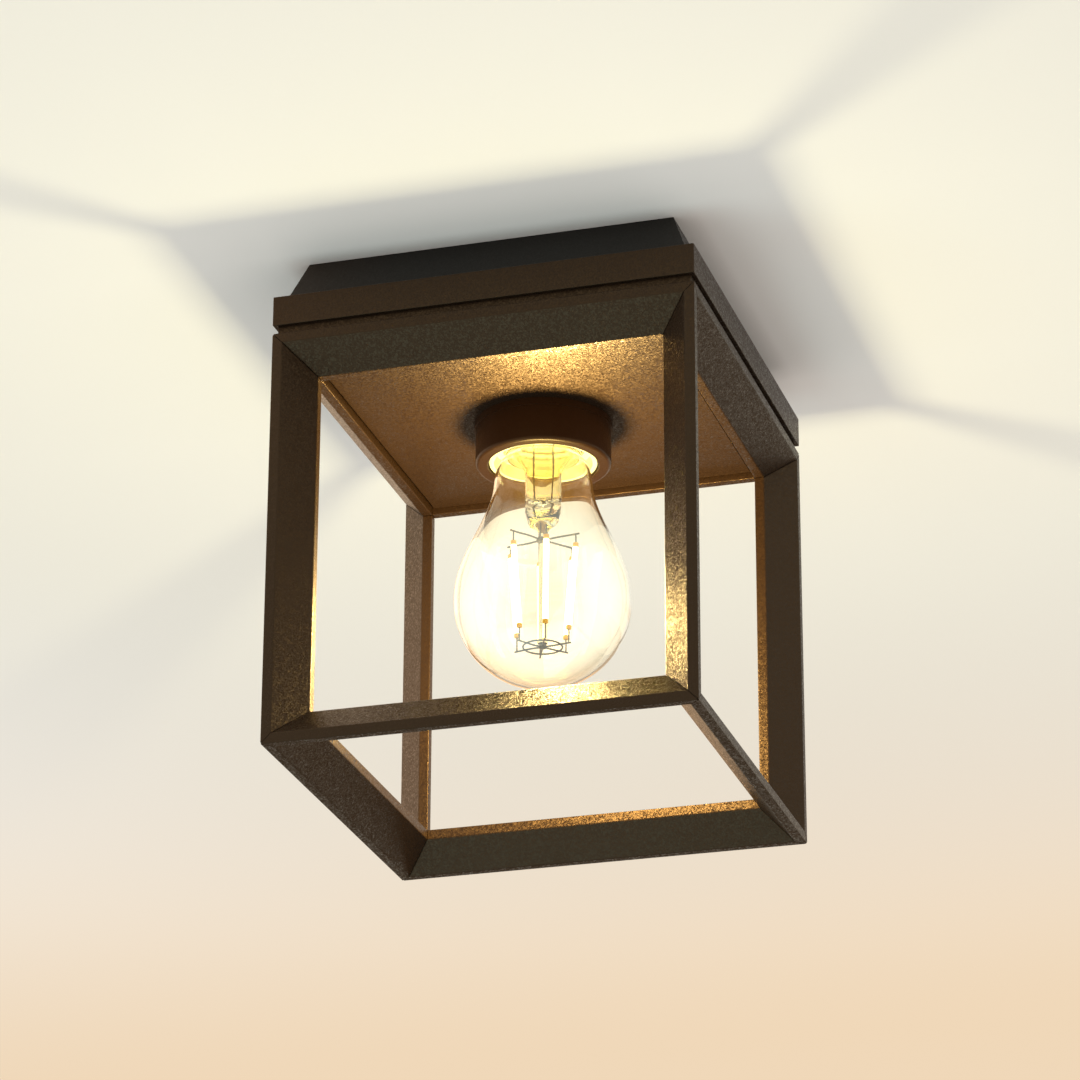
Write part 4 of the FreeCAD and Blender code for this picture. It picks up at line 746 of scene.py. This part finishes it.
def lit_phosphor():
    """Phosphor over a row of lit chips, a bead for each chip."""
    material, tree, where = fresh("lit_phosphor_coat")
    level = add(tree, "ShaderNodeSeparateXYZ", {0: where}).outputs["Z"]
    phase = add(tree, "ShaderNodeMath", {0: level, 1: 2 * math.pi * per_metre(1.0)}, operation="MULTIPLY")
    bead = add(tree, "ShaderNodeMath", {0: phase.outputs[0]}, operation="SINE")
    power = add(tree, "ShaderNodeMapRange", {
        "Value": bead.outputs[0], "From Min": -1.0, "To Min": 5.0, "To Max": 8.0})
    shader = add(tree, "ShaderNodeBsdfPrincipled", {
        "Base Color": linear("#f6c560"), "Roughness": 0.6,
        "Emission Color": linear("#ffe6a8"), "Emission Strength": power.outputs[0]})
    add(tree, "ShaderNodeOutputMaterial", {"Surface": shader.outputs[0]})
    material.cycles.emission_sampling = "NONE"
    return material


def chipless_phosphor():
    """The same coat where no chip lies under it, with a faint painted glow."""
    material, tree, where = fresh("unlit_phosphor_coat")
    mottle = add(tree, "ShaderNodeTexNoise", {"Vector": where, "Scale": per_metre(0.6), "Detail": 3.0})
    tone = add(tree, "ShaderNodeMix", {
        "Factor": mottle.outputs["Fac"], "A": linear("#b9820f"), "B": linear("#f0bd33")}, data_type="RGBA")
    # painted glow: the chipless tips emit faintly, standing in for light spread from the lit chips
    shader = add(tree, "ShaderNodeBsdfPrincipled", {
        "Base Color": tone.outputs[2], "Roughness": 0.5,
        "Emission Color": linear("#f0b030"), "Emission Strength": 0.35})
    add(tree, "ShaderNodeOutputMaterial", {"Surface": shader.outputs[0]})
    return material


sticks, ends = [], []
for angle in ANGLES:
    top = towards(angle, TOP_OUT, TOP_LEVEL)
    foot = towards(angle, LOW_OUT, LOW_LEVEL)
    lean = (foot - top).normalized()
    tip = lean * (UNLIT_LENGTH - TIP_GAP)
    sticks.append(stick(top + lean * UNLIT_LENGTH, foot - lean * UNLIT_LENGTH, STICK_RADIUS, STICK_ROUND))
    ends.append(stick(top, top + tip, STICK_RADIUS, TIP_ROUND))
    ends.append(stick(foot - tip, foot, STICK_RADIUS, TIP_ROUND))
piece_of("filament_sticks", sticks, lit_phosphor(), "bulb", ["bulb_filaments"])
piece_of("filament_tips", ends, chipless_phosphor(), "bulb", ["bulb_filament_ends"])
print(FILAMENTS, "filaments,", round((TOP_LEVEL - LOW_LEVEL) / MM, 1), "mm tall")

# %% [markdown]
# ## Wires in the bulb
#
# Bare nickel wire, 0.6 mm thick, holds and feeds the sticks. A collar on the glass rod carries a
# star of six short wires, bent down at their ends. Below, a ring joins six more. They are bent and
# welded by hand jigs, so no two lie quite alike: each gets a small lift of its own.

# %% Lamp wires
WIRE = 0.3 * MM
STAR_LEVEL = -82.7 * MM
STAR_OUT = 13.4 * MM
RING_LEVEL = -121.4 * MM
RING_RADIUS = 6.6 * MM
FINE_WIRE = WIRE * 0.85
LEAD_APART = 3.4 * MM
HOOP_STEPS = 72
WIRE_SIDES = 10


def nickel_wire():
    """Drawn nickel wire, dulled by welding heat."""
    material, tree, where = fresh("bare_nickel_wire")
    heat = add(tree, "ShaderNodeTexNoise", {"Vector": where, "Scale": per_metre(2.5), "Detail": 2.0})
    tone = add(tree, "ShaderNodeMix", {
        "Factor": heat.outputs["Fac"], "A": linear("#4d483d"), "B": linear("#8f8775")}, data_type="RGBA")
    shader = add(tree, "ShaderNodeBsdfPrincipled", {
        "Base Color": tone.outputs[2], "Metallic": 1.0, "Roughness": 0.32})
    add(tree, "ShaderNodeOutputMaterial", {"Surface": shader.outputs[0]})
    return material


def collar(level, below, above, radius, rounded):
    """A short round collar on the glass rod."""
    return stick(Vector((0, 0, level - below)), Vector((0, 0, level + above)), radius, rounded)


nickel = nickel_wire()
star = [collar(STAR_LEVEL, 0.45 * MM, 0.45 * MM, 2.3 * MM, 0.15 * MM)]
ring = [collar(RING_LEVEL, 0.5 * MM, 1.1 * MM, 1.2 * MM, 0.2 * MM)]
for i, angle in enumerate(ANGLES):
    lift = 0.35 * MM * math.sin(2.4 * i + 0.7)
    sway = math.radians(3) * math.cos(1.7 * i)
    star.append(bent_wire([
        towards(angle, 1.9 * MM, STAR_LEVEL), towards(angle + sway, 6 * MM, STAR_LEVEL + lift),
        towards(angle, 10 * MM, STAR_LEVEL + 0.5 * lift), towards(angle, STAR_OUT, STAR_LEVEL + lift)], WIRE))
    star.append(bent_wire([
        towards(angle, TOP_OUT - 0.1 * MM, STAR_LEVEL + 0.4 * lift),
        towards(angle, TOP_OUT, STAR_LEVEL - 1.4 * MM),
        towards(angle, TOP_OUT, TOP_LEVEL - 0.3 * MM)], FINE_WIRE))
    ring.append(bent_wire([
        towards(angle, 0.9 * MM, RING_LEVEL), towards(angle - sway, 5 * MM, RING_LEVEL - 0.4 * lift),
        towards(angle, LOW_OUT + 0.8 * MM, RING_LEVEL + lift)], WIRE))
    ring.append(bent_wire([
        towards(angle, LOW_OUT, RING_LEVEL + 0.6 * lift),
        towards(angle, LOW_OUT + 0.1 * MM, RING_LEVEL + 2.4 * MM),
        towards(angle, LOW_OUT, LOW_LEVEL + 0.4 * MM)], FINE_WIRE))
for angle in (ANGLES[0] + math.radians(30), ANGLES[3] + math.radians(30)):
    star.append(bent_wire([
        towards(angle, 2.0 * MM, STAR_LEVEL), towards(angle, 2.6 * MM, STAR_LEVEL + 1.5 * MM),
        towards(angle, 2.2 * MM, STAR_LEVEL + 3.6 * MM), towards(angle, 2.0 * MM, -77.4 * MM)], FINE_WIRE))


def closed_hoop(radius, wire):
    """A closed round ring of wire."""
    form = bmesh.new()
    loops = []
    for i in range(HOOP_STEPS):
        a = 2 * math.pi * i / HOOP_STEPS
        loop = []
        for k in range(WIRE_SIDES):
            b = 2 * math.pi * k / WIRE_SIDES
            place = towards(a, radius + wire * math.cos(b), RING_LEVEL + wire * math.sin(b))
            loop.append(form.verts.new(place))
        loops.append(loop)
    for i in range(HOOP_STEPS):
        for k in range(WIRE_SIDES):
            near, far = loops[i], loops[(i + 1) % HOOP_STEPS]
            form.faces.new((near[k], near[(k + 1) % WIRE_SIDES], far[(k + 1) % WIRE_SIDES], far[k]))
    mesh = bpy.data.meshes.new("hoop")
    form.to_mesh(mesh)
    form.free()
    return mesh


ring.append(closed_hoop(RING_RADIUS, WIRE))
piece_of("star_wires", star, nickel, "bulb", ["bulb_top_wires"])
piece_of("ring_wires", ring, nickel, "bulb", ["bulb_ring_wires"])
leads = [bent_wire([(x, 0, -47.1 * MM), (x * 1.05, 0.2 * MM, -58 * MM), (x * 0.92, -0.2 * MM, -66 * MM),
                    (x * 0.7, 0, -74 * MM)], WIRE) for x in (-LEAD_APART, LEAD_APART)]
piece_of("stem_wires", leads, nickel, "bulb", ["bulb_lead_wires"])
print("wires for", FILAMENTS, "filaments")

# %% [markdown]
# ## Small metal, rubber and plastic pieces
#
# The rest is hardware that mostly hides in the base and cap: zinc-plated screws, brass clamps, a
# nylon terminal block, rubber seals and three short leads. Each gets the finish it has in life,
# because the lantern is also looked at from above and in pieces.

# %% Hardware finishes
def plating(tree, where, base, tint, rough, grain_mm):
    """Shader of a thin plating on metal: cloudy in tone, faintly streaked by turning or rolling."""
    cloud = add(tree, "ShaderNodeTexNoise", {
        "Vector": where, "Scale": per_metre(grain_mm * 8), "Detail": 3.0})
    fine = add(tree, "ShaderNodeTexNoise", {"Vector": where, "Scale": per_metre(grain_mm), "Detail": 2.0})
    tone = add(tree, "ShaderNodeMix", {
        "Factor": cloud.outputs["Fac"], "A": linear(base), "B": linear(tint)}, data_type="RGBA")
    gloss = add(tree, "ShaderNodeMapRange", {
        "Value": fine.outputs["Fac"], "To Min": rough * 0.8, "To Max": rough * 1.2})
    return add(tree, "ShaderNodeBsdfPrincipled", {
        "Base Color": tone.outputs[2], "Metallic": 1.0, "Roughness": gloss.outputs[0]})


def plated(name, base, tint, rough, grain_mm):
    """Metal that is plated all over."""
    material, tree, where = fresh(name)
    shader = plating(tree, where, base, tint, rough, grain_mm)
    add(tree, "ShaderNodeOutputMaterial", {"Surface": shader.outputs[0]})
    return material


def moulded(name, dark, light, rough, ior, grain_mm, depth_mm):
    """Plastic or rubber from a mould, with the mould's fine grain."""
    material, tree, where = fresh(name)
    cloud = add(tree, "ShaderNodeTexNoise", {
        "Vector": where, "Scale": per_metre(grain_mm * 12), "Detail": 2.0})
    grain = add(tree, "ShaderNodeTexNoise", {"Vector": where, "Scale": per_metre(grain_mm), "Detail": 3.0})
    tone = add(tree, "ShaderNodeMix", {
        "Factor": cloud.outputs["Fac"], "A": linear(dark), "B": linear(light)}, data_type="RGBA")
    relief = add(tree, "ShaderNodeBump", {
        "Height": grain.outputs["Fac"], "Strength": 0.4, "Distance": depth_mm * MM})
    shader = add(tree, "ShaderNodeBsdfPrincipled", {
        "Base Color": tone.outputs[2], "Roughness": rough, "IOR": ior, "Normal": relief.outputs[0]})
    add(tree, "ShaderNodeOutputMaterial", {"Surface": shader.outputs[0]})
    return material


def striped_insulation():
    """Green and yellow PVC: two stripes that wind along the earth lead."""
    material, tree, where = fresh("green_and_yellow_pvc")
    stripe = add(tree, "ShaderNodeTexWave", {
        "Vector": where, "Scale": per_metre(9), "Distortion": 1.5}, bands_direction="DIAGONAL")
    edge = add(tree, "ShaderNodeMapRange", {
        "Value": stripe.outputs["Fac"], "From Min": 0.45, "From Max": 0.55})
    tone = add(tree, "ShaderNodeMix", {
        "Factor": edge.outputs[0], "A": linear("#2f8a3a"), "B": linear("#e3cf2d")}, data_type="RGBA")
    shader = add(tree, "ShaderNodeBsdfPrincipled", {"Base Color": tone.outputs[2], "Roughness": 0.35})
    add(tree, "ShaderNodeOutputMaterial", {"Surface": shader.outputs[0]})
    return material


zinc = plated("zinc_plated_steel", "#a9abad", "#c9cac6", 0.34, 0.3)
nickel_sheet = plated("nickel_plated_brass", "#c2bdb0", "#ddd8ca", 0.16, 0.4)
brass = plated("machined_brass", "#b08d45", "#d1b06a", 0.3, 0.25)
bronze_strip = plated("phosphor_bronze_strip", "#a9743f", "#c48f57", 0.28, 0.3)
INWARD = -1.0 * MM


def cap_with_cement():
    """The nickel-plated cap, lined inside with the pale cement that holds the glass."""
    material, tree, where = fresh("nickel_plated_cap_with_cement")
    metal = plating(tree, where, "#c2bdb0", "#ddd8ca", 0.16, 0.4)
    out = add(tree, "ShaderNodeVectorMath", {0: where, 1: (1.0, 1.0, 0.0)}, operation="MULTIPLY")
    side = add(tree, "ShaderNodeNewGeometry").outputs["Normal"]
    outward = add(tree, "ShaderNodeVectorMath", {0: out.outputs[0], 1: side}, operation="DOT_PRODUCT")
    inside = add(tree, "ShaderNodeMath", {0: outward.outputs["Value"], 1: INWARD}, operation="LESS_THAN")
    crumb = add(tree, "ShaderNodeTexNoise", {"Vector": where, "Scale": per_metre(0.8), "Detail": 4.0})
    tone = add(tree, "ShaderNodeMix", {
        "Factor": crumb.outputs["Fac"], "A": linear("#d8cc9c"), "B": linear("#efe6c4")}, data_type="RGBA")
    cement = add(tree, "ShaderNodeBsdfDiffuse", {"Color": tone.outputs[2]})
    shader = add(tree, "ShaderNodeMixShader", {
        0: inside.outputs[0], 1: metal.outputs[0], 2: cement.outputs[0]})
    add(tree, "ShaderNodeOutputMaterial", {"Surface": shader.outputs[0]})
    return material


solder = plated("soldered_contact", "#9a9a98", "#bdbdb9", 0.42, 0.5)
cap_glass = moulded("black_vitrified_glass", "#060607", "#0e0e10", 0.12, 1.52, 0.6, 0.01)
rubber = moulded("black_nitrile_rubber", "#131313", "#1e1e1d", 0.6, 1.52, 0.3, 0.02)
foam = moulded("closed_cell_foam", "#1b1b1b", "#2b2b2a", 0.85, 1.5, 0.5, 0.08)
nylon = moulded("moulded_nylon", "#d4d0c2", "#e2dfd3", 0.42, 1.53, 0.4, 0.02)
board = moulded("pale_glass_fibre_board", "#b9a869", "#cdbd84", 0.4, 1.55, 0.35, 0.02)
brown_pvc = moulded("brown_pvc", "#4a2b18", "#5c3721", 0.35, 1.53, 0.5, 0.01)
blue_pvc = moulded("blue_pvc", "#1f4fa0", "#2a62bd", 0.35, 1.53, 0.5, 0.01)

dress(zinc, "base_side_screws", "cap_screws", "panel_studs", "panel_spacers", "panel_nuts", "shroud_screws",
      "holder_nipple", "nipple_washer", "nipple_nut", "terminal_screws", "terminal_fixing_screws",
      "earth_tag")
dress(brass, "terminal_clamps", "earth_screw")
dress(bronze_strip, "holder_centre_contact", "holder_side_contact")
dress(nickel_sheet, "holder_shell")
dress(cap_with_cement(), "bulb_screw_cap")
dress(solder, "bulb_contact")
dress(cap_glass, "bulb_insulator")
dress(rubber, "cable_grommet", "cap_gasket")
dress(foam, "ceiling_gasket")
dress(nylon, "terminal_block")
dress(board, "bulb_driver")
dress(brown_pvc, "live_lead")
dress(blue_pvc, "neutral_lead")
dress(striped_insulation(), "earth_lead")
for part in ("base_side_screws", "cable_grommet", "terminal_block", "nipple_nut", "panel_nuts"):
    soften(part, SMALL_RADIUS)
bare = [n for n, piece in nodes.items() if not piece.hide_render and not piece.data.materials]
print("CAD nodes without a finish:", bare)

# %% [markdown]
# ## The bulb's own light
#
# The sticks alone would light the cage, but rays that must find them through a glass wall arrive
# as speckle. So small warm lamps sit among them and do that work, each linked to what it lights.
# Glass and wires don't hold their light back, and the wires stay dark against the glare; the
# shroud, the plates and the bars cast the shadows. One lamp lights the cage and the plates. A
# weaker one lights the lampholder, which is so near that it would burn out. A faint third, which
# nothing shades, is the light that the cage throws back at its own bars. The last one lights the
# ceiling alone and doesn't fade with distance, as the light of a whole lit porch would.

# %% Light from the bulb
GLOW_WATTS = 25
HOLDER_WATTS = 9
BOUNCE_WATTS = 1
CEILING_WATTS = 25
GLOW_RADIUS = 11 * MM


def bulb_lamp(name, watts, code, fades, lit, shaded_by):
    """A round lamp among the filaments, with what it lights and what shades it."""
    data = bpy.data.lights.new(name, "POINT")
    data.energy = watts
    data.color = linear(code)[:3]
    data.shadow_soft_size = GLOW_RADIUS
    lamp = bpy.data.objects.new(name, data)
    lamp.location = (0, 0, (TOP_LEVEL + LOW_LEVEL) / 2)
    bpy.context.scene.collection.objects.link(lamp)
    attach(lamp, "bulb")
    receivers = bpy.data.collections.new(name + "_lights")
    blockers = bpy.data.collections.new(name + "_shaded_by")
    for piece in lit:
        receivers.objects.link(piece)
    for piece in shaded_by:
        blockers.objects.link(piece)
    lamp.light_linking.receiver_collection = receivers
    lamp.light_linking.blocker_collection = blockers
    data.use_nodes = True
    lamp_tree = data.node_tree
    fade = add(lamp_tree, "ShaderNodeLightFalloff", {"Strength": 1.0})
    lamp_tree.links.new(fade.outputs[fades], lamp_tree.nodes["Emission"].inputs["Strength"])


solid_pieces = [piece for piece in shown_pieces() if body_of(piece) == ["lantern"]]
CAP = ("bulb_screw_cap", "bulb_insulator", "bulb_contact", "bulb_driver")
holder_pieces = [nodes["holder_shroud"], nodes["holder_body"]]
near_pieces = holder_pieces + [nodes[name] for name in CAP]
bar_pieces = [nodes[bar] for bar in BARS]
other_pieces = [piece for piece in solid_pieces if piece not in holder_pieces]
bulb_lamp("bulb_light", GLOW_WATTS, "#ffd98a", "Linear", other_pieces, solid_pieces)
bulb_lamp("bulb_light_on_holder", HOLDER_WATTS, "#f0e9a0", "Linear", near_pieces, solid_pieces)
bulb_lamp("light_bounced_about_the_cage", BOUNCE_WATTS, "#ffc27a", "Linear", bar_pieces, [])
bulb_lamp("bulb_light_on_ceiling", CEILING_WATTS, "#fbf3c6", "Constant", [ceiling], solid_pieces)
print(len(solid_pieces), "pieces cast shadows from the bulb")
